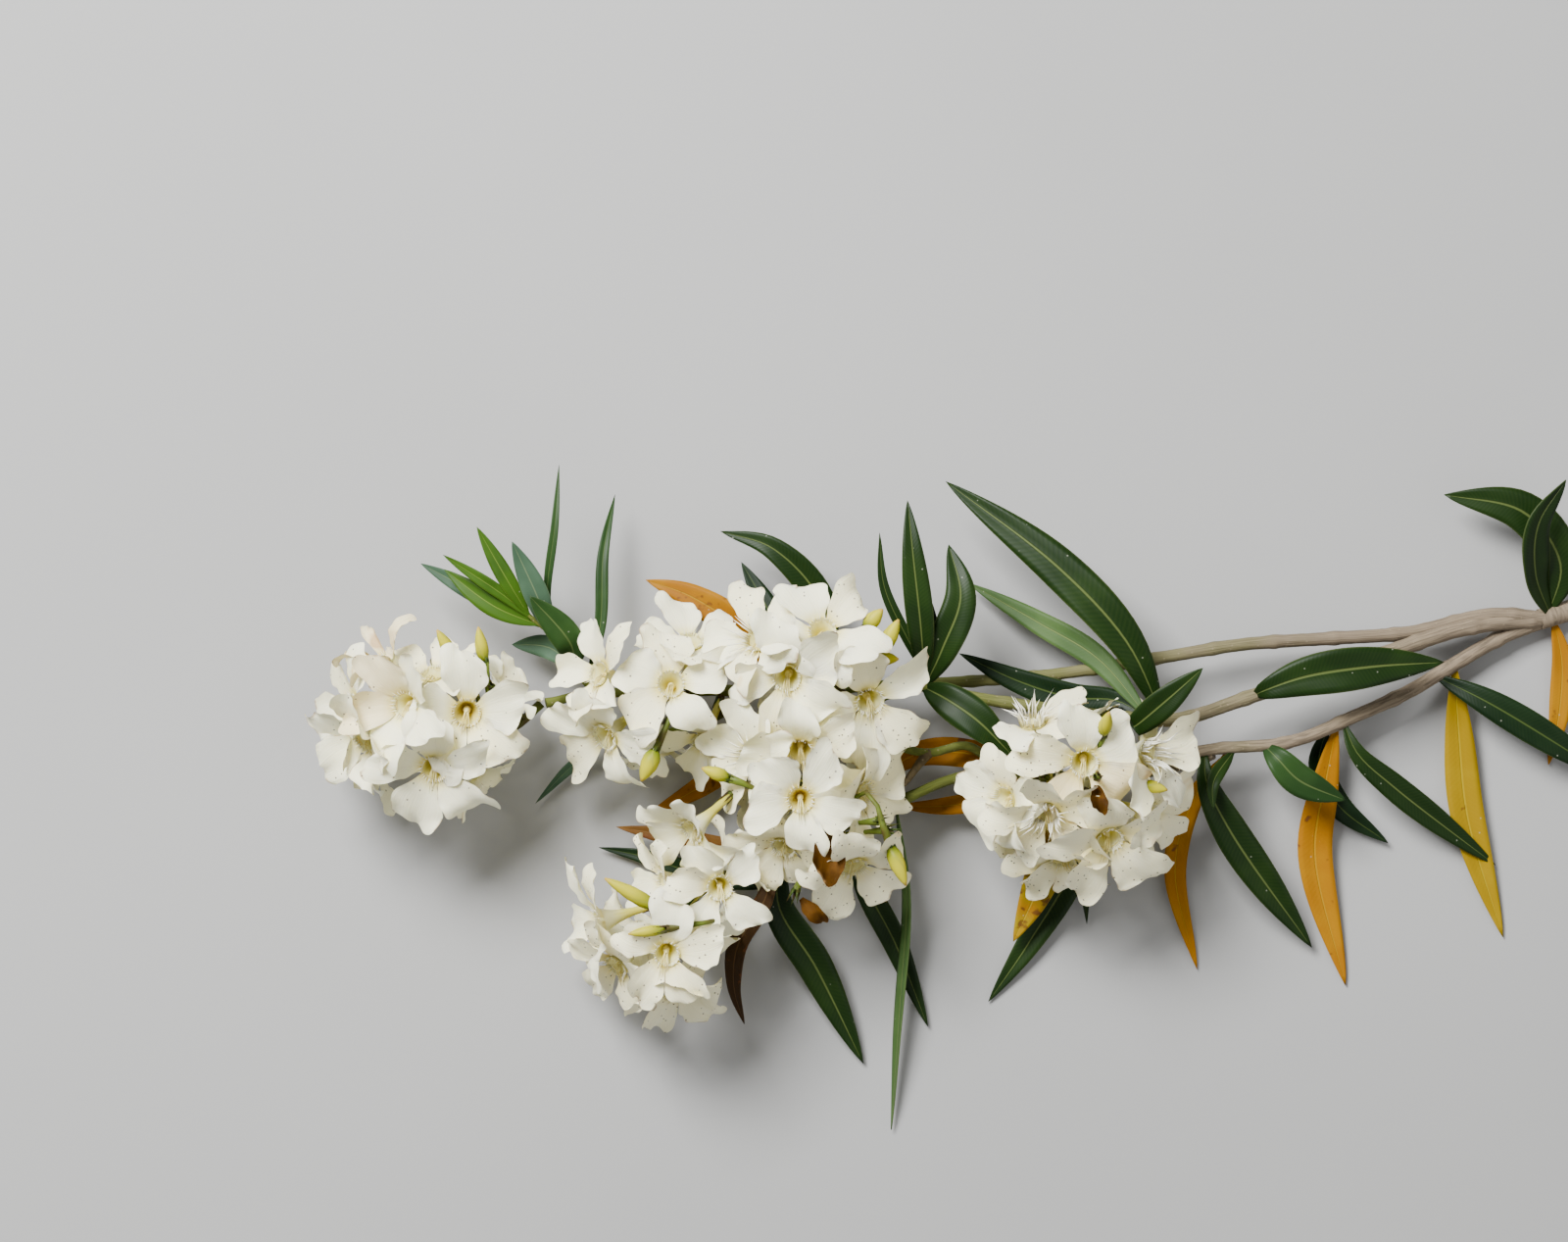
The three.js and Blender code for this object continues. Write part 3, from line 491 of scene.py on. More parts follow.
# %% Bark
GREEN_BEFORE = -0.02
WOODY_BEYOND = 0.14
CORK = (0.30, 0.24, 0.15)


def bark_finish(name, woody, green):
    """Bark that turns from green at the young ends to woody at the old one, along X."""
    material, tree, shader = new_finish(name, 0.75, 0.25)
    along = node(tree, "ShaderNodeSeparateXYZ", Vector=model_place(tree)).outputs[0]
    wobble = sums(tree, "MULTIPLY", sums(tree, "SUBTRACT", cloud(tree, 30.0), 0.5), 0.16)
    age = mask_from(tree, sums(tree, "ADD", along, wobble), GREEN_BEFORE, WOODY_BEYOND)
    grain = streaks(tree, 22.0, 1.3, 4.0)
    old = blend(tree, mask_from(tree, grain, 0.4, 0.68), woody, darker(woody, 0.55))
    fresh = blend(tree, mask_from(tree, grain, 0.35, 0.7), green, darker(green, 0.72))
    pores = dots(tree, 420.0, 1.0, 0.15)
    colour = blend(tree, pores, blend(tree, age, fresh, old), CORK, 0.35)
    tree.links.new(colour, shader.inputs["Base Color"])
    relief(tree, shader, sums(tree, "ADD", grain, pores), 0.0005, 0.5)
    return material


BARK = bark_finish("bark", (0.22, 0.17, 0.115), (0.105, 0.125, 0.018))
DEAD_BARK = bark_finish("dead_bark", (0.10, 0.065, 0.035), (0.09, 0.065, 0.03))
CUT_WOOD = plain_finish("cut_wood", (0.62, 0.50, 0.28), (0.46, 0.34, 0.16), 0.7, 900.0)
print("wood finishes:", [finish.name for finish in (BARK, DEAD_BARK, CUT_WOOD)])

# %% Routes and radii of the stems
BOUGHS = {
    "main_stem": (3.9, 3.6, [(283.5, 7.5, 3.9), (270.5, 4.5, 4.2), (257, 0.5, 6)]),
    "middle_bough": (2.9, 1.9, [
        (257, 0.5, 6), (243, -0.5, 9), (229, -3, 12), (204.5, -11, 17), (159.5, -25.5, 21),
        (133.5, -33.5, 25), (111.5, -32.5, 28), (65, -26, 30), (46.5, -22, 30),
    ]),
    "lower_bough": (2.7, 1.9, [
        (258, 0, 5), (245, -5, 6), (227.5, -15, 8), (212.5, -24, 11), (195, -32, 14), (172.5, -41, 18),
        (146.5, -43.5, 22), (128.5, -46.5, 25),
    ]),
    "back_bough": (2.5, 1.6, [
        (258, 1, 7), (240, 2, 9), (212.5, -4, 10), (184.5, -6, 12), (156, -8, 14), (125, -13, 16),
        (89, -18.5, 16), (33.5, -22, 14), (-33.5, -24, 17), (-66.5, -25, 20), (-81, -28, 23),
    ]),
    "forward_bough": (2.1, 1.6, [
        (146, -45, 21), (130, -50, 14), (100, -53, 13), (60.5, -53, 22), (40, -61, 25),
        (16.5, -71.5, 24), (-3.5, -78, 23),
    ]),
}

# %% Stems from curves
JOINT_SPACING = 21.0
JOINT_WIDTH = 1.9
JOINT_SWELL = 0.13
JOINT_SHIFT = 7.0
STEM_STEP = 0.9
SKIN_GRAIN = 0.0028
SKIN_DEPTH = 0.00025
GRAIN_LENGTH = 10


def stem_from_curve(name, places, start, end, joints_from=None, finish=BARK):
    """A stem that tapers from start to end, with swollen joints if it is told where they begin."""
    rough = seen(places)
    length = np.linalg.norm(np.diff(rough, axis=0), axis=1).sum()
    count = int(length / STEM_STEP)
    curve = bpy.data.curves.new(name, "CURVE")
    curve.dimensions = "3D"
    curve.bevel_depth = METRES
    curve.bevel_resolution = 4
    curve.use_fill_caps = True
    spline = curve.splines.new("POLY")
    spline.points.add(count - 1)
    for i, (point, place) in enumerate(zip(spline.points, in_metres(smooth_route(rough, count)))):
        along = i / (count - 1)
        swell = 0.0
        if joints_from is not None:
            offset = (along * length + joints_from) % JOINT_SPACING - JOINT_SPACING / 2
            swell = JOINT_SWELL * math.exp(-((offset / JOINT_WIDTH) ** 2))
        point.co = (*place, 1.0)
        point.radius = (start + (end - start) * along) * (1 + swell)
    stem = new_object(name, curve)
    bpy.ops.object.select_all(action="DESELECT")
    stem.select_set(True)
    bpy.context.view_layer.objects.active = stem
    bpy.ops.object.convert(target="MESH")
    stem = bpy.context.object
    corners = stem.data.uv_layers[0].data
    unrolled = np.empty(2 * len(corners))
    corners.foreach_get("uv", unrolled)
    unrolled[1::2] *= length / GRAIN_LENGTH
    corners.foreach_set("uv", unrolled)
    rough_skin = stem.modifiers.new("skin", "DISPLACE")
    rough_skin.texture = bpy.data.textures.new(name + "_skin", "CLOUDS")
    rough_skin.texture.noise_scale = SKIN_GRAIN
    rough_skin.strength = SKIN_DEPTH
    bpy.ops.object.modifier_apply(modifier=rough_skin.name)
    bpy.ops.object.mode_set(mode="EDIT")
    bpy.ops.mesh.select_all(action="SELECT")
    bpy.ops.mesh.normals_make_consistent(inside=False)
    bpy.ops.object.mode_set(mode="OBJECT")
    bpy.ops.object.shade_smooth()
    stem.data.materials.clear()
    stem.data.materials.append(finish)
    return stem


for number, (name, (start, end, route)) in enumerate(BOUGHS.items()):
    stem = stem_from_curve(name + "_bark", route, start, end, joints_from=JOINT_SHIFT * number)
    stand_for(stem, [name])

# %% [markdown]
# A short green side stalk rises beside the middle head, with a brown knot from which one thin dead
# twig hangs on. Both are too slight for solids of their own, so they are drawn the same way here.

# %% Side stalk and dead twig
SIDE_STALK = [(77, -52, 17), (70, -47, 22), (62, -42.5, 26), (49, -44.8, 30), (36, -42.5, 30), (24, -42, 28)]
DEAD_TWIG = [(49.5, -44.5, 29.5), (46, -48.5, 31), (42, -54, 31), (36, -60, 30)]
stand_for(stem_from_curve("side_stalk", SIDE_STALK, 1.7, 1.3), ["forward_bough"])
stand_for(stem_from_curve("dead_twig", DEAD_TWIG, 1.9, 0.6, finish=DEAD_BARK), ["forward_bough"])

# %% [markdown]
# Where the branch was cut, the end shows pale wood with a darker pith. It is a thin disc on the
# end of the stem: its face is inset for the bark's edge and for the pith, which is pressed in a
# little.

# %% The cut end
CUT_RADIUS = 3.5
CUT_THICKNESS = 0.25
INSETS = ((0.5, 0.0), (1.8, 0.0), (0.25, -0.12))
ROUTE_STEPS = 40
main_route = smooth_route(seen(BOUGHS["main_stem"][2]), ROUTE_STEPS)
outward = -directions(main_route)[0]
bpy.ops.mesh.primitive_cylinder_add(vertices=28, radius=CUT_RADIUS * METRES, depth=CUT_THICKNESS * METRES)
disc = bpy.context.object
disc.name = "cut_wood_face"
bpy.ops.object.mode_set(mode="EDIT")
bpy.ops.mesh.select_all(action="DESELECT")
bpy.ops.mesh.select_mode(type="FACE")
bpy.ops.object.mode_set(mode="OBJECT")
for face in disc.data.polygons:
    face.select = face.normal.z > 0.9
bpy.ops.object.mode_set(mode="EDIT")
for width, drop in INSETS:
    bpy.ops.mesh.inset(thickness=width * METRES)
    bpy.ops.transform.translate(value=(0, 0, drop * METRES))
bpy.ops.object.mode_set(mode="OBJECT")
disc.rotation_mode = "QUATERNION"
disc.rotation_quaternion = Vector(outward).to_track_quat("Z", "Y")
disc.location = in_metres(main_route[:1])[0] - outward * 0.5 * CUT_THICKNESS * METRES
bpy.ops.object.transform_apply(location=True, rotation=True, scale=True)
disc.data.materials.append(CUT_WOOD)
stand_for(disc, ["main_stem"])

# %% [markdown]
# The heads are laid out as in the model: for each flower its place, the way it leans, its turn,
# how far it is open and its size. A bud has the places of its foot and its tip, and how plump it
# is. The rows name what shows, and the rest follows by rule.

# %% Places of the heads
HEADS = {
    "far_head": {
        "stalk": [(-82.5, -28, 23.3), (-93.5, -37, 24), (-111.5, -39.5, 25), (-128.5, -39.5, 24)],
        "flowers": [
            (-108, -31, 50, -80, 12, 18, 1, 1.08),
            (-119, -50, 49, -95, 24, 20, 1, 0.97),
            (-128.5, -28.5, 53, 190, 25, 40, 0.5, 0.95),
            (-142, -40, 43, 215, 45, 10, 0.55, 0.95),
            (-146, -29, 34, 178, 66, 30, 0.9, 0.92),
            (-135.5, -14, 40, 130, 62, 20, 0.35, 0.85),
            (-119.5, -18.5, 39, 100, 54, 0, 0.75, 0.78),
        ],
        "under": [
            (-96, -24, 32, 40, 75, 10, 0.7, 0.75), (-140, -48, 16, -140, 108, 0, 0.9, 0.85),
            (-121, -21, 16, 100, 110, 30, 0.9, 0.82),
        ],
        "buds": [((-112, -13, 47), (-118, -3, 51), 0.95), ((-102, -14, 46), (-104, -2, 49), 0.95)],
    },
    "back_head": {
        "stalk": [(-12, -26.5, 17), (-26.5, -34, 20), (-41.5, -38, 22), (-50, -37, 22)],
        "flowers": [
            (-38.5, -21.5, 47, 90, 10, 16, 1, 0.95),
            (-62.5, -18, 41, 165, 48, 20, 0.9, 0.9),
            (-32, -7.5, 36, 85, 50, 25, 0.9, 0.9),
            (-60.5, -39, 37, 220, 46, 14, 0.95, 1.05),
            (-27, -41, 30, -110, 50, 30, 0.9, 0.85),
        ],
        "under": [(-42, -44, 15, -85, 105, 20, 0.8, 0.62)],
        "buds": [((-43.5, -43.5, 48), (-48.5, -54.5, 48), 1.3)],
    },
    "middle_head": {
        "stalk": [(42.5, -22, 29.5), (25, -30.5, 27), (10, -45.5, 26), (7.5, -62, 26), (10, -76, 25)],
        "flowers": [
            (13, -3.5, 56, 90, 22, 48, 1, 0.93),
            (-8.5, -6.5, 47, 145, 38, 30, 0.85, 0.95),
            (1, -19, 54, 240, 20, 34, 1, 1.05),
            (29, -27, 50, -60, 28, 33, 1, 1.08),
            (-10.5, -46, 43.5, 200, 36, 14, 0.9, 0.95),
            (5.5, -44, 50, -95, 30, 20, 0.95, 0.95),
            (5.5, -60.5, 58, -90, 8, 52, 1, 0.88),
            (26.5, -59, 40, -15, 58, 12, 0.9, 0.92),
            (0, -76.5, 38, -115, 52, 20, 0.9, 0.9),
            (23.5, -83, 43, -70, 54, 18, 0.95, 1),
        ],
        "under": [(-9, -53, 17, 175, 105, 20, 0.9, 0.78), (26, -46, 15, -10, 112, 0, 0.9, 0.8)],
        "buds": [
            ((27.5, -2.5, 54), (33.5, 4, 57), 1.15), ((33.5, -10, 52), (39, 0.5, 55), 1.15),
            ((31, -12.5, 51), (39, -13, 54), 1.0), ((-18.5, -53.5, 46), (-28, -50, 48), 1.0),
            ((36, -76, 50), (41.5, -90, 50), 1.15),
        ],
    },
    "lower_head": {
        "stalk": [(-7.5, -79.5, 22.8), (-20, -87, 24), (-33.5, -97, 25), (-40, -106, 25)],
        "flowers": [
            (-31, -71, 50, 222, 58, 8, 0.85, 0.97),
            (-22, -90.5, 53, -90, 12, 30, 1, 0.86),
            (-40, -113, 52, -80, 16, 5, 1, 0.88),
            (-62, -102, 35, 196, 72, 20, 0.85, 0.95),
            (-40.5, -89, 37, 188, 70, 15, 0.85, 0.85),
            (-36.5, -125, 33, -85, 62, 20, 0.8, 0.95),
            (-56.5, -117, 33, 225, 58, 20, 0.9, 0.92),
            (-28.5, -107, 36, -50, 56, 10, 0.85, 0.76),
        ],
        "under": [(-48, -108, 15, -150, 112, 10, 0.9, 0.85), (-25, -103, 15, -35, 108, 0, 0.8, 0.62)],
        "buds": [((-42.5, -98, 50), (-61, -87.5, 53), 1.1), ((-40, -104.5, 56), (-53, -106.5, 58), 0.85)],
    },
    "near_head": {
        "stalk": [(127, -46.7, 25.2), (110, -52, 26), (96.5, -59.5, 26)],
        "flowers": [
            (84.5, -35, 48, 95, 60, 20, 0.85, 0.95),
            (102, -48, 57, -90, 18, 28, 1, 1.05),
            (123.5, -44.5, 48, 0, 48, 8, 0.9, 1.02),
            (75.5, -60.5, 44, 190, 50, 10, 0.9, 0.95),
            (89.5, -65, 55, -100, 42, 20, 1, 1.02),
            (95, -81, 37, -95, 62, 15, 0.9, 0.92),
            (110.5, -74, 51, -68, 38, 22, 1, 1.06),
            (124, -66, 38, -20, 60, 15, 0.85, 0.85),
        ],
        "under": [(84, -76, 15, -120, 108, 10, 0.9, 0.85), (116, -68, 15, -45, 110, 0, 0.9, 0.85)],
        "buds": [
            ((108.3, -38.8, 62.5), (110.6, -31, 71), 1.0), ((122, -55.5, 52), (130.5, -57.5, 53), 0.9),
        ],
    },
}

# %% [markdown]
# Every flower is built round its own axis. From its throat, the way it faces gives three
# directions: out of the throat, and two across its face. Petals and threads stand round the axis
# like the spokes of a wheel.

# %% A flower's own directions
def leaning(toward, lean):
    """Unit direction that leans by so many degrees from straight up towards a side."""
    toward, lean = math.radians(toward), math.radians(lean)
    return np.array([math.sin(lean) * math.cos(toward), math.sin(lean) * math.sin(toward), math.cos(lean)])


def flower_frame(flower):
    facing = leaning(flower["toward"], flower["lean"])
    across = np.array([1.0, 0, 0]) if abs(facing[0]) < 0.9 else np.array([0, 1.0, 0])
    across -= facing * facing.dot(across)
    across /= np.linalg.norm(across)
    return flower["throat"], facing, across, np.cross(facing, across)


def spoke(across, up, degrees):
    angle = math.radians(degrees)
    return across * math.cos(angle) + up * math.sin(angle)


def flowers_of(rows, first):
    return [
        {"throat": seen(row[:3])[0], "toward": row[3], "lean": row[4], "spin": row[5], "open": row[6],
         "size": row[7], "seed": first + i}
        for i, row in enumerate(rows)
    ]


# %% [markdown]
# One flat petal pattern serves all petals. It is a grid primitive, read as a place across and a
# place along; each petal then rolls, cups and ruffles its own copy of it. That is how paper
# flowers are made, and it keeps the veins running the right way on every petal.

# %% The petal pattern
def flat_pattern(columns, rows):
    """The places (across, along) and the faces of a grid primitive."""
    bpy.ops.mesh.primitive_grid_add(x_subdivisions=columns, y_subdivisions=rows, size=2)
    grid = bpy.context.object
    places = np.array([(vertex.co.x, (vertex.co.y + 1) / 2) for vertex in grid.data.vertices])
    faces = [tuple(face.vertices) for face in grid.data.polygons]
    bpy.data.objects.remove(grid, do_unlink=True)
    return places, faces


PETAL_PLACES, PETAL_FACES = flat_pattern(8, 10)
print("petal pattern:", len(PETAL_PLACES), "points,", len(PETAL_FACES), "faces")

# %% [markdown]
# A petal rises steeply out of the throat and then bends outwards. Its outline is narrow at the
# root, widest near the tip and cut off aslant, with a shallow notch. The rim ruffles and is ragged
# and crinkled, some tips curl back and a few petals roll up lengthwise, as the weathered ones on
# this branch do. A live Subdivision Surface rounds the pattern's coarse grid later.

# %% Petals
PETALS = 5
MOUTH = 4.3
PETAL_LENGTH = 18.2
PETAL_WIDTH = 17.0
PETAL_WIDEST = 0.66
RUFFLE = 1.6
CRINKLE = 0.55


def petal_outline(along):
    """Half width as a share of the greatest, from root to tip."""
    rising = 0.28 + 0.72 * np.sin(np.pi / 2 * np.clip(along / PETAL_WIDEST, 0, 1)) ** 1.35
    falling = np.sqrt(1 - 0.5 * (np.clip(along - PETAL_WIDEST, 0, None) / (1 - PETAL_WIDEST)) ** 2.2)
    return np.where(along < PETAL_WIDEST, rising, falling)


def mouth_scale(flower):
    return 0.5 + 0.5 * flower["size"]


def petal_points(flower, petal):
    """The points of a petal and their places on it: u runs across from -1 to 1, v along from 0 to 1."""
    throat, facing, across, up = flower_frame(flower)
    opened, size, shrunk = flower["open"], flower["size"], flower["shrunk"]
    chance = [vary(flower["seed"], petal, key) for key in range(20)]
    outward = spoke(across, up, flower["spin"] + 360 / PETALS * petal + 11 * chance[5])
    sideways = np.cross(facing, outward)
    length = PETAL_LENGTH * size * (1 + 0.15 * chance[1])
    width = PETAL_WIDTH * size * (0.74 + 0.26 * opened) * (1 + 0.18 * chance[2]) * (1 - 0.5 * shrunk)
    rise = math.radians(74 - 40 * opened + 8 * chance[3])
    fall = math.radians(58 - 74 * opened + 18 * chance[4])
    twist = 0.34 * chance[6]
    curl = max(0.0, chance[7] - 0.35) * 2.1 + shrunk
    rolled = max(0.0, chance[8] - 0.5) * 0.9 + 0.7 * shrunk
    notch_at = 0.6 * chance[9]
    ripple = 3.0 * chance[10]
    pointed = 0.07 + 0.13 * max(0.0, chance[19])

    # The tip's outline: rounded corners, one notch and shallow lobes.
    u, v = PETAL_PLACES.T
    rim = np.maximum(np.abs(u), v) ** 8
    notch = np.exp(-((u - notch_at) / 0.2) ** 2)
    v = v * (1 - 0.13 * np.abs(u) ** 3 - 0.07 * notch - 0.025 * np.sin(7 * u + ripple))

    # The bend from the throat outwards, as seen from the side.
    bend = rise - fall
    slope = rise - bend * v
    ahead_out, ahead_up = np.cos(slope), np.sin(slope)
    reach = MOUTH * mouth_scale(flower) * 0.86 + length * (math.sin(rise) - ahead_up) / bend
    lift = length * (ahead_out - math.cos(rise)) / bend - 0.5
    tip_curl = curl * np.clip(v - 0.5, 0, None) ** 2 * length

    # The ragged rim, the width and the corner that makes the petal lopsided.
    v = v * (1 + 0.055 * rim * np.sin(41 * u + 9 * ripple))
    half = width / 2 * petal_outline(v) * (1 + 0.075 * rim * np.sin(57 * v + 7 * ripple))
    narrow = 1 - 0.55 * np.clip(rolled, 0, 1) * v
    corner = length * v * v * (0.11 * u + pointed * np.exp(-((u - 0.75) / 0.25) ** 2))

    # How far each point stands off the bend: cupped, folded, ruffled and crinkled.
    cup = half * (0.16 * u * u + twist * u * v + rolled * u * u * v)
    fold = 0.6 * size * v**1.4 * np.sin(3.1 * u + ripple) + 0.35 * size * v * np.sin(6.5 * v + 2 * ripple)
    fold = fold + 0.3 * size * v * np.sin(8.0 * u + 4.0 * v + 3 * ripple)
    waves = v**2 * np.abs(u) ** 1.6 * np.sin(8.5 * v + ripple + 2 * u)
    frill = RUFFLE * size * (waves + 0.6 * v**4 * np.sin(5.5 * u + 2 * ripple))
    crinkle = CRINKLE * size * rim * np.sin(47 * v + 23 * u + 11 * ripple)
    stand = cup + fold + frill + crinkle - tip_curl
    points = (
        throat
        + outward * (reach + corner * ahead_out - stand * ahead_up)[:, None]
        + facing * (lift + corner * ahead_up + stand * ahead_out)[:, None]
        + sideways * (u * half * narrow + 0.13 * width * v * v)[:, None]
    )
    return points, np.column_stack([(u + 1) / 2, PETAL_PLACES[:, 1]])


# %% [markdown]
# The funnel is a row of rings that shrink into a deep hole, and the tube outside it runs down to
# the calyx. Both are lathe shapes: an outline of radius and height, turned round the flower's axis.

# %% Funnel and tube
FUNNEL = [(4.8, 1.1), (4.1, -0.3), (3.3, -1.9), (2.6, -3.6), (1.8, -5.4), (0.2, -6.4)]
TUBE_OUTLINE = [(4.5, 0.1), (4.0, -1.2), (2.8, -4.0), (2.0, -7.5), (1.45, -11.5), (1.3, -19.0)]
TUBE_LENGTH = 19.0
FUNNEL_SIDES = 15


def turned(bundle, flower, outline, finish, inside=False):
    throat, facing, across, up = flower_frame(flower)
    angles = math.radians(flower["spin"]) + 2 * np.pi * np.arange(FUNNEL_SIDES) / FUNNEL_SIDES
    ring = np.cos(angles)[:, None] * across + np.sin(angles)[:, None] * up
    scale = mouth_scale(flower)
    points = np.vstack([throat + ring * radius * scale + facing * height for radius, height in outline])
    places, faces = ring_grid(len(outline), FUNNEL_SIDES)
    bundle.add(points, places, faces if inside else [face[::-1] for face in faces], finish)


# %% [markdown]
# A ragged fringe stands round the mouth of the funnel: each petal carries a comb of fine white
# threads at its root. They are short on most flowers, and long and wild on a few shaggy ones. In
# the middle, the anthers close into a cone with a tuft of feathery threads, which droops towards
# the foot of the picture. A thread is a slim three-sided rod with one bend, and a sepal is one
# without a bend.

# %% Fringe and anthers
THREADS_PER_PETAL = 6
FRINGE_LENGTH = 7.2
FRINGE_WIDTH = 0.85
FRINGE_ROUND = 0.86
ANTHER_OUTLINE = [(0.9, -6.6), (1.3, -4.4), (1.1, -2.6), (0.6, -1.2), (0.12, -0.3)]
TUFT_THREADS = 7
TUFT_LENGTH = 8.5
TUFT_WIDTH = 0.4
TUFT_DEPTH = 1.4


def corners_round(axis, width):
    """Three corners round an axis."""
    side = np.cross(axis, [0.31, 0.57, 0.76])
    side *= width / 2 / np.linalg.norm(side)
    other = np.cross(axis, side)
    other *= width / 2 / np.linalg.norm(other)
    return np.array([side, -0.5 * side + 0.87 * other, -0.5 * side - 0.87 * other])


def thread(bundle, route, width, finish):
    """A three-sided rod along one or two places, a little thinner at the second, up to a pointed tip."""
    *rings, tip = route
    corners = corners_round(tip - rings[0], width)
    points = np.vstack([ring + (1 - 0.2 * i) * corners for i, ring in enumerate(rings)] + [tip])
    last = 3 * len(rings)
    places = [(k / 3, i / len(rings)) for i in range(len(rings)) for k in range(3)] + [(0.5, 1)]
    faces = [(2, 1, 0)]
    faces += [(k, (k + 1) % 3, (k + 1) % 3 + 3, k + 3) for k in range(last - 3)]
    faces += [(last - 3 + k, last - 3 + (k + 1) % 3, last) for k in range(3)]
    bundle.add(points, places, faces, finish)


def fringe(bundle, flower):
    throat, facing, across, up = flower_frame(flower)
    seed, shaggy = flower["seed"], flower["shaggy"]
    for petal in range(PETALS):
        for k in range(THREADS_PER_PETAL):
            chance = vary(seed, petal, k, 11)
            turn = petal + FRINGE_ROUND * ((k + 0.5) / THREADS_PER_PETAL - 0.5) + 0.04 * chance
            outward = spoke(across, up, flower["spin"] + 360 / PETALS * turn)
            aside = np.cross(facing, outward) * vary(seed, petal, k, 17)
            length = FRINGE_LENGTH * flower["size"] * shaggy * (0.85 + 0.3 * chance)
            splay = 0.65 / max(shaggy, 1.0) + 0.4 * vary(seed, petal, k, 12)
            root = throat + outward * MOUTH * mouth_scale(flower) * 0.92 + facing * 0.3
            bend = root + length * (0.45 * facing + 0.2 * splay * outward + 0.06 * aside)
            tip = root + length * (0.8 * facing + splay * outward + 0.25 * aside)
            thread(bundle, [root, bend, tip], FRINGE_WIDTH * min(shaggy, 1.0), FRINGE)


def anthers(bundle, flower):
    throat, facing, across, up = flower_frame(flower)
    turned(bundle, flower, ANTHER_OUTLINE, ANTHER)
    seed = flower["seed"]
    droop = np.array([0.25 * vary(seed, 18), -1.0, 0.0])
    droop -= facing * facing.dot(droop)
    droop /= np.linalg.norm(droop)
    for k in range(TUFT_THREADS):
        outward = spoke(across, up, flower["spin"] + 360 / TUFT_THREADS * k)
        length = TUFT_LENGTH * (1 + 0.2 * vary(seed, k, 13))
        root = throat - facing * TUFT_DEPTH + outward * 0.5
        bend = root + length * (0.32 * facing + 0.3 * droop) + outward * 0.6
        tip = bend + length * (0.1 * facing + 0.6 * droop) + outward * 0.9 * vary(seed, k, 14)
        thread(bundle, [root, bend, tip], TUFT_WIDTH, ANTHER)


# %% [markdown]
# Under each flower five narrow sepals clasp the tube, and a thin stalk runs down to the head's
# own stalk. It leaves there at the nearest point and turns into line with the flower. Where a
# flower has dropped, its calyx and stalk stay.

# %% Calyx and flower stalk
CALYX_LENGTH = 4.6
SEPAL_LENGTH = 5.6
SEPAL_WIDTH = 1.6
PEDICEL = 0.85
PEDICEL_FLARE = 1.9
PEDICEL_STEPS = 9
PEDICEL_SIDES = 7


def calyx(bundle, foot, facing, spin, seed):
    across = np.cross(facing, [0.2, 0.9, 0.4])
    across /= np.linalg.norm(across)
    up = np.cross(facing, across)
    for sepal in range(PETALS):
        outward = spoke(across, up, spin + 360 / PETALS * sepal)
        root = foot - facing * 0.8 + outward
        tip = root + facing * SEPAL_LENGTH * (1 + 0.15 * vary(seed, sepal, 15)) + outward
        thread(bundle, [root, tip], SEPAL_WIDTH, CALYX)


def nearest(stalk, place):
    return stalk[np.argmin(np.linalg.norm(stalk - place, axis=1))]


def flower_stalk(bundle, stalk, foot, facing):
    """A thin stalk from the nearest point of the head's stalk up to a flower's or bud's foot."""
    base = foot - facing * CALYX_LENGTH
    root = nearest(stalk, base)
    bend = base - facing * 0.4 * np.linalg.norm(root - base)
    route = smooth_route([root, bend, base, foot], PEDICEL_STEPS)
    last = PEDICEL_STEPS - 1
    flare = np.interp(np.arange(PEDICEL_STEPS), [0, last - 2, last], [1, 1, PEDICEL_FLARE])
    round_limb(bundle, route, PEDICEL * flare, PEDICEL_SIDES, STALK)


def fallen_flower(bundle, stalk, at, seed):
    """The calyx and stalk that stay when a flower has dropped."""
    foot = seen([at])[0]
    facing = foot - nearest(stalk, foot)
    facing /= np.linalg.norm(facing)
    calyx(bundle, foot, facing, 40.0 * seed, seed)
    flower_stalk(bundle, stalk, foot, facing)


# %% [markdown]
# A bud is a long spindle: petals furled round each other into a point. It is the round limb
# again, fat in the middle, with its places turned so that the seams wind round it.

# %% Buds
BUD_STEPS = 11
BUD_SIDES = 10
BUD_WIDTH = 2.75
BUD_TURN = 2.4


def bud(bundle, stalk, at, tip, plump):
    foot, end = seen([at, tip])
    axis = (end - foot) / np.linalg.norm(end - foot)
    share = np.linspace(0, 1, BUD_STEPS)
    radii = BUD_WIDTH * plump * np.maximum(np.sin(np.pi * share**0.85) ** 0.6, 0.16) * (1 - 0.3 * share)
    round_limb(bundle, foot + (end - foot) * share[:, None], radii, BUD_SIDES, BUD, turn=BUD_TURN)
    calyx(bundle, foot, axis, 30.0, int(abs(foot[0] * 10)))
    flower_stalk(bundle, stalk, foot, axis)


# %% [markdown]
# Some flowers differ. Older ones are specked, one has withered, a few throats are ochre, and two
# flowers have lost petals. Brown dried petals cling in two heads, and bare calyxes are left of
# flowers that fell.

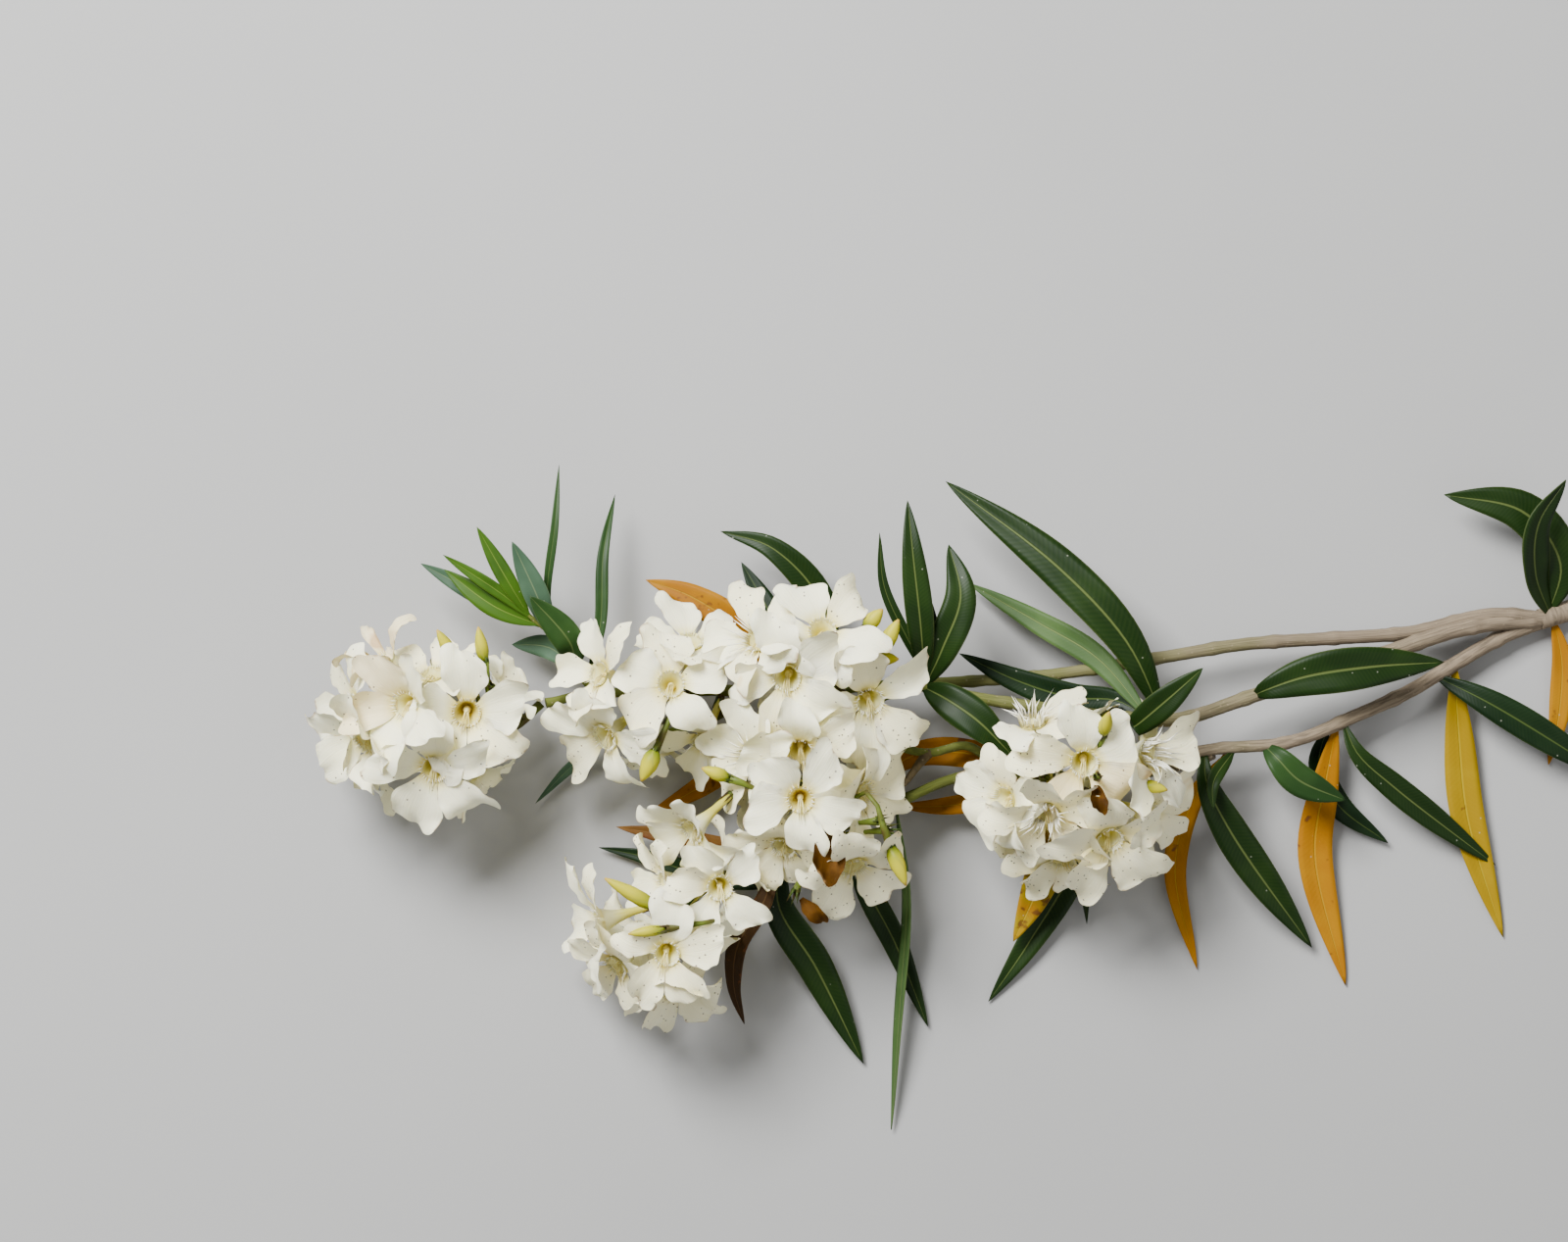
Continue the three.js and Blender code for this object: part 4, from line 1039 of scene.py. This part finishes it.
# %% Flowers that differ
SPECKED = {
    ("far_head", 7), ("near_head", 5), ("near_head", 6), ("near_head", 7), ("near_head", 8),
    ("lower_head", 6), ("lower_head", 7), ("middle_head", 8), ("middle_head", 9), ("middle_head", 10),
}
WITHERED = {("far_head", 6)}
OCHRE = {("far_head", 1), ("far_head", 2), ("middle_head", 6), ("middle_head", 7)}
SHAGGY = {
    ("near_head", 1): 1.6, ("near_head", 3): 1.5, ("near_head", 5): 1.3,
    ("middle_head", 2): 1.35, ("middle_head", 5): 1.1,
}
USUAL_SHAGGY = 0.45
LOST_PETALS = {("near_head", 1): [1, 2], ("near_head", 3): [1, 2]}
CREAM_PETALS = {("near_head", 2): [3, 4], ("far_head", 3): [1, 2]}
OLD_CALYXES = {
    "far_head": [(-126, -38, 50), (-131, -42, 47), (-100, -22, 44)],
    "back_head": [(-50, -33, 38), (-45, -38, 37)],
    "middle_head": [(24, -16, 53), (28, -19, 51), (35, -71, 46), (32, -68, 48), (12, -39, 50)],
    "lower_head": [(-35, -101, 50), (-26, -80, 47)],
    "near_head": [(106, -61, 54), (88, -52, 48)],
}
DRIED_PETALS = {
    "middle_head": [(20.5, -66, 51, 0, 4, -114, 0.9, 1.1), (4, -92, 39, 0, 4, -60, 0.9, 0.65)],
    "near_head": [(106.5, -53, 64, 0, 4, -88, 0.9, 0.52)],
}


def finish_of(key, flower, petal):
    """Dry for withered and cream petals, specked for older flowers and single petals, or white."""
    if key in WITHERED or petal in CREAM_PETALS.get(key, []):
        return DRY_PETAL
    if key in SPECKED or vary(flower["seed"], petal, 16) > 0.5:
        return SPECKED_PETAL
    return PETAL


# %% [markdown]
# Where neighbours leave room, more flowers fill the sides and the underside of a head by rule. Each
# try takes the next turn round the stalk, leans level or down, and is left out if the flower would
# crowd another or touch the floor.

# %% Flowers by rule
FILLER_TRIES = 22
FILLER_ROOM = 19.0
FILLER_LOWEST = 11.0
GOLDEN_ANGLE = 137.5
GOLDEN_SHARE = 0.618


def fillers(stalk, others, number):
    """Small flowers on the sides and underside of the head with this number."""
    placed = [flower["throat"] for flower in others]
    made = []
    for k in range(FILLER_TRIES):
        toward = (GOLDEN_ANGLE * k + 40 * number) % 360
        lean = 82 + 34 * ((GOLDEN_SHARE * k) % 1)
        root = stalk[int(len(stalk) * (0.35 + 0.6 * ((0.37 * k) % 1)))]
        throat = root + leaning(toward, lean) * TUBE_LENGTH + np.array([0, 0, 1.0])
        crowded = min(np.linalg.norm(throat - other) for other in placed) < FILLER_ROOM
        if throat[2] < FILLER_LOWEST or crowded:
            continue
        placed.append(throat)
        made.append({
            "throat": throat, "toward": toward, "lean": lean, "spin": 25 * k, "open": 0.75, "size": 0.74,
            "seed": 100 * number + 70 + k,
        })
    return made


# %% [markdown]
# Now the heads are put together. Each becomes three pieces: its petals, its throats, and its stalks
# with buds and calyxes. Every flower has a seed of its own for its chances: a hundred for each head
# and one for each row.

# %% The five heads
STALK_STEPS = 60
for number, (name, head) in enumerate(HEADS.items(), start=1):
    stalk = smooth_route(seen(head["stalk"]), STALK_STEPS)
    shown = flowers_of(head["flowers"], 100 * number)
    under = flowers_of(head["under"], 100 * number + 50)
    extra = fillers(stalk, shown + under, number)
    petals, throats, stalks = Bundle(), Bundle(), Bundle()
    round_limb(stalks, stalk[::3], np.linspace(1.7, 1.2, STALK_STEPS // 3), 9, STALK)
    for index, flower in enumerate(shown + under + extra, start=1):
        key = (name, index)
        flower["shrunk"] = 1.0 if key in WITHERED else 0.0
        flower["shaggy"] = SHAGGY.get(key, USUAL_SHAGGY)
        for petal in range(PETALS):
            if petal not in LOST_PETALS.get(key, []):
                petals.add(*petal_points(flower, petal), PETAL_FACES, finish_of(key, flower, petal))
        turned(throats, flower, FUNNEL, OCHRE_THROAT if key in OCHRE else PALE_THROAT, inside=True)
        turned(throats, flower, TUBE_OUTLINE, TUBE)
        fringe(throats, flower)
        anthers(throats, flower)
        throat, facing, _, _ = flower_frame(flower)
        foot = throat - facing * TUBE_LENGTH
        calyx(stalks, foot, facing, flower["spin"], flower["seed"])
        flower_stalk(stalks, stalk, foot, facing)
    for k, row in enumerate(DRIED_PETALS.get(name, [])):
        (dried,) = flowers_of([row], 100 * number + 90 + k)
        dried["shrunk"] = 0.5
        petals.add(*petal_points(dried, 0), PETAL_FACES, BROWN_PETAL)
        fallen_flower(stalks, stalk, row[:3], 100 * number + 90 + k)
    for k, at in enumerate(OLD_CALYXES[name]):
        fallen_flower(stalks, stalk, at, 100 * number + 80 + k)
    for row in head["buds"]:
        bud(stalks, stalk, *row)
    flower_nodes = [f"{name}_flower_{i}" for i in range(1, len(shown) + 1)]
    petal_piece = petals.make(name + "_petals")
    smooth = petal_piece.modifiers.new("smooth", "SUBSURF")
    smooth.levels = 1
    smooth.render_levels = 1
    stand_for(petal_piece, flower_nodes + [name + "_stalk"])
    stand_for(throats.make(name + "_throats"), flower_nodes + [name + "_stalk"])
    stand_for(stalks.make(name + "_stalks"), [name + "_stalk"])
    print(name, len(shown), "flowers shown,", len(under) + len(extra), "more below")

# %% [markdown]
# Leaves share a pattern too. Each follows its own route from its joint on the stem, widens to the
# middle and runs out to a long point. It is folded a little up along the midrib, its rims bend
# down again, and the edge waves slightly. A row gives the finish, the width, the route and, for
# some, by how many degrees the leaf is rolled over.

# %% Places of the leaves
LEAF_GROUPS = {
    "fork_leaves": [
        ("green", 15, [(260, 2, 6), (264, 19.5, 12), (251.5, 37, 16), (224.5, 43, 14)]),
        ("green", 12, [(261, 1, 6), (255.5, 16, 16), (256.5, 33, 24), (266, 48, 26)], 30),
        ("amber", 8, [(261.5, 1, 5), (264.5, -13.5, 3), (263.5, -32, 2), (260, -49, 1)]),
    ],
    "right_upper_leaves": [
        ("deep", 11, [(221, -18.5, 9), (240, -28, 14), (266.5, -44, 12), (282, -54, 5)]),
        ("yellow", 12, [(228, -15, 8), (229.5, -39, 5), (232.5, -67, 3), (244.5, -107.5, 1)]),
    ],
    "long_side_leaf": [
        ("green", 15, [(160, -25.3, 21), (163, -23.8, 26), (177, -19, 28.5), (200, -15.5, 27.5),
                       (224.5, -14, 22)]),
    ],
    "right_lower_leaves": [
        ("green", 9.5, [(190, -34, 15), (195, -45, 17), (207.5, -56.5, 14), (242, -83, 2)]),
        ("amber", 12, [(188, -35, 15), (184, -55.5, 9), (180.5, -79, 4), (191, -124, 1)]),
        ("deep", 9, [(185, -36, 15), (182, -48, 7), (188.5, -62.5, 4), (205.5, -75.5, 3)]),
    ],
    "lower_leaves": [
        ("green", 12.5, [(143, -44, 22), (143.5, -54, 25), (151.5, -71, 20), (179.5, -111, 4)]),
        ("amber", 8, [(151, -44.5, 21), (138.5, -62, 12), (133, -85, 5), (140.5, -118.5, 1)]),
        ("green", 5, [(153, -44, 21), (146, -55, 29), (146, -64, 30)]),
        ("shaded", 11, [(163, -42, 19), (168, -47, 24), (175, -54, 24), (191, -61, 20)]),
    ],
    "middle_leaves": [
        ("green", 14.5, [(129, -33, 26), (116.5, -7, 34), (93.5, 18, 32), (55, 47.5, 22)]),
        ("green", 10, [(121, -33, 27), (119, -36, 33), (130, -27, 40), (142.5, -16, 44)]),
        ("deep", 10, [(124, -33, 26), (113, -27, 21), (98, -26, 19), (80, -20.5, 18), (59.5, -11, 17)]),
        ("pale", 9, [(124, -33, 26), (107, -13, 18), (86.5, -0.5, 12), (62.5, 13, 5)]),
    ],
    "whorl_leaves": [
        ("green", 4, [(51, -22.5, 30), (42, -6, 35), (34, 12, 37), (32.5, 30, 38)]),
        ("green", 9.5, [(48, -22.3, 30), (46.5, -2, 42), (44, 21, 46), (42, 41, 44)]),
        ("green", 12, [(48, -22.3, 30), (54, -9, 38), (60, 8, 40), (56, 26, 34)]),
        ("deep", 7, [(48, -22.3, 30), (49.5, -7, 35), (50, 7, 34)]),
        ("green", 13, [(47, -22.2, 30), (56, -27, 38), (66, -34, 41), (78, -46, 40)]),
    ],
    "hidden_bough_leaves": [
        ("green", 10.5, [(12, -23, 15), (13, 5, 20), (-3.5, 24.5, 22), (-21.5, 30.5, 18)]),
        ("deep", 9, [(6, -23, 15), (-4, 1, 14), (-14.5, 20, 10)]),
        ("ochre", 11.5, [(-4, -23.5, 16), (-13, -5, 20), (-31, 8, 20), (-47, 14, 17)]),
        ("ochre", 9, [(-4, -23.5, 16), (-10, -40, 8), (-28, -56, 9), (-46, -65.5, 9)]),
    ],
    "near_head_leaves": [
        ("green", 11, [(104, -52.5, 13), (100, -80, 7), (83.5, -109, 3), (69.5, -129.5, 1)]),
        ("green", 5, [(101, -53, 13), (104, -76, 8), (102.5, -89, 5), (103, -103, 3)]),
        ("spotted", 13, [(97, -53, 13), (90, -80, 13), (85, -94, 12), (78, -109, 9)]),
        ("ochre", 10, [(87, -52, 15), (68.5, -46, 19), (46.5, -45, 17), (28.5, -55.5, 12)]),
        ("ochre", 7, [(88, -52.5, 15), (66, -61, 12), (53.5, -63, 10), (37.5, -63, 7)]),
    ],
    "under_leaves": [
        ("green", 9, [(23, -69, 24), (27, -88, 14), (38, -110, 6), (49, -138, 2)]),
        ("pale", 6.5, [(38, -62, 25), (42, -91.5, 16), (40, -125.5, 10), (36.5, -173, 2)], 62),
    ],
    "dry_leaves": [
        ("green", 12.5, [(0, -77, 23), (-2, -96, 16), (11, -118, 9), (27, -150.5, 2)]),
        ("russet", 8.5, [(3, -77, 23), (-4, -80, 13), (-24, -77, 12), (-40, -73, 11), (-57, -70, 10)]),
        ("dry", 8, [(-1.5, -77.5, 23), (-7, -96, 24), (-15.5, -110, 20), (-17, -124, 13),
                    (-13.5, -137, 8)], 28),
        ("deep", 8, [(3, -78, 23), (-3, -87, 12), (-28, -86, 5), (-48, -80, 4), (-63, -77, 3)]),
    ],
    "shoot": [
        ("back", 7, [(-84, -1, 28), (-100, 7, 26), (-123.5, 19.5, 18)]),
        ("young", 7.5, [(-83, -1.5, 28), (-98.5, 5, 30), (-115.5, 17.5, 28)]),
        ("young", 4.5, [(-86, 1, 29), (-95, 8.5, 32), (-116, 22.5, 34)]),
        ("young", 6, [(-86.5, 1.5, 29), (-93, 12, 33), (-104.5, 32, 34)]),
        ("back", 8.5, [(-80, -4, 27), (-83, 6, 34), (-92.5, 27, 38)]),
        ("shaded", 3, [(-79, -5, 27), (-80.5, 10, 30), (-78, 32, 32), (-76.5, 53, 28)]),
        ("shaded", 10.5, [(-71, -16, 23), (-73, -7, 32), (-86.5, 8.5, 38)]),
        ("back", 8, [(-71, -16, 23), (-80, -9, 18), (-92.5, -8, 14)]),
        ("shaded", 4.5, [(-67, -21, 21), (-62.5, -1.5, 22), (-61.5, 22.5, 20), (-57.5, 43, 12)]),
        ("back", 4.5, [(-60, -25, 19), (-65.5, -43, 8), (-75, -52, 5), (-84.5, -62, 3)]),
    ],
}

# %% Leaf blades
LEAF_PLACES, LEAF_FACES = flat_pattern(6, 26)
LEAF_FOLD = 0.256
RIM_DROP = 0.1
EDGE_WAVE = 0.05
LEAF_STALK = 1.5
TIP_WIDTH = 0.05
LEATHER = 0.0004


def leaf_points(seed, width, path, roll=0):
    """The points of a leaf and their places on it: u runs across from -1 to 1, v along from 0 to 1."""
    u, v = LEAF_PLACES.T
    steps = np.unique(v)
    route = smooth_route(seen(path), len(steps))
    ahead = directions(route)
    level = np.column_stack([-ahead[:, 1], ahead[:, 0], np.zeros(len(steps))])
    level /= np.linalg.norm(level, axis=1, keepdims=True)
    turn = math.radians(roll)
    across = level * math.cos(turn) + np.cross(ahead, level) * math.sin(turn)
    out = np.cross(ahead, across)
    row = np.searchsorted(steps, v)
    body = width / 2 * np.sin(np.pi * v**0.92) ** 0.8
    half = np.maximum(body, LEAF_STALK / 2 * (1 - v))
    half[v > 0.999] = TIP_WIDTH
    fold = half * (LEAF_FOLD * np.abs(u) - RIM_DROP * np.abs(u) ** 3)
    wave = EDGE_WAVE * width * np.abs(u) ** 2 * np.sin(11 * v + 3 * vary(seed, 21)) * np.sin(np.pi * v)
    points = route[row] + across[row] * (u * half)[:, None] + out[row] * (fold + wave)[:, None]
    return points, np.column_stack([(u + 1) / 2, v])


for number, (name, leaves) in enumerate(LEAF_GROUPS.items()):
    blades = Bundle()
    for index, (tint, *shape) in enumerate(leaves):
        points, places = leaf_points(10 * number + index, *shape)
        blades.add(points, places, LEAF_FACES, LEAF_FINISHES[tint])
    piece = blades.make(name + "_blades")
    thickness = piece.modifiers.new("leather", "SOLIDIFY")
    thickness.thickness = LEATHER
    thickness.offset = 0.0
    stand_for(piece, [name])

# %% The young shoot's twig
SHOOT_TWIG = [(-63, -25, 20), (-69, -19, 22), (-76.5, -7, 26), (-87, 2, 29)]
stand_for(stem_from_curve("shoot_twig_bark", SHOOT_TWIG, 1.4, 0.8), ["shoot"])

# %% [markdown]
# The floor is pale, but a little grey, so that white petals stand out. A large soft lamp from the
# upper left gives the petals their form, a weaker one fills from the right, and the sky is plain.

# %% Floor and light
FLOOR_SIZE = 6.0
SKY_STRENGTH = 0.4
LAMPS = [((-0.65, 0.85, 1.2), 0.65, 71.0), ((1.1, -0.4, 1.0), 1.6, 6.0)]
bpy.ops.mesh.primitive_plane_add(size=FLOOR_SIZE)
floor = bpy.context.object
floor.name = "floor"
floor.data.materials.append(plain_finish("floor_grey", (0.36, 0.36, 0.355), (0.345, 0.345, 0.34), 0.9, 3.0))
for place, size, power in LAMPS:
    bpy.ops.object.light_add(type="AREA", location=place)
    lamp = bpy.context.object
    lamp.data.size = size
    lamp.data.energy = power
    lamp.rotation_euler = (-Vector(place)).to_track_quat("-Z", "Y").to_euler()
sky = bpy.data.worlds.new("sky")
sky.use_nodes = True
sky.node_tree.nodes["Background"].inputs["Color"].default_value = (1.0, 1.0, 1.0, 1.0)
sky.node_tree.nodes["Background"].inputs["Strength"].default_value = SKY_STRENGTH
bpy.context.scene.world = sky
print("floor and", len(LAMPS), "lamps")

# %% [markdown]
# The camera hangs straight over the picture's middle. Its height is the one that the places were
# worked out for, so the whole frame spans as many millimetres as the picture does.

# %% Camera
SENSOR = 36.0
PICTURE_WIDTH = 1600
PIXELS_PER_MM = 3.0
camera_data = bpy.data.cameras.new("camera")
camera_data.sensor_width = SENSOR
camera_data.lens = SENSOR * (SIGHT_HEIGHT - SIGHT_PLANE) / (PICTURE_WIDTH / PIXELS_PER_MM)
camera = new_object("camera", camera_data)
camera.location = (np.array([0, 0, SIGHT_HEIGHT]) + SHIFT) * METRES
bpy.context.scene.camera = camera
print("lens", round(camera_data.lens, 2), "mm at", [round(value, 3) for value in camera.location])
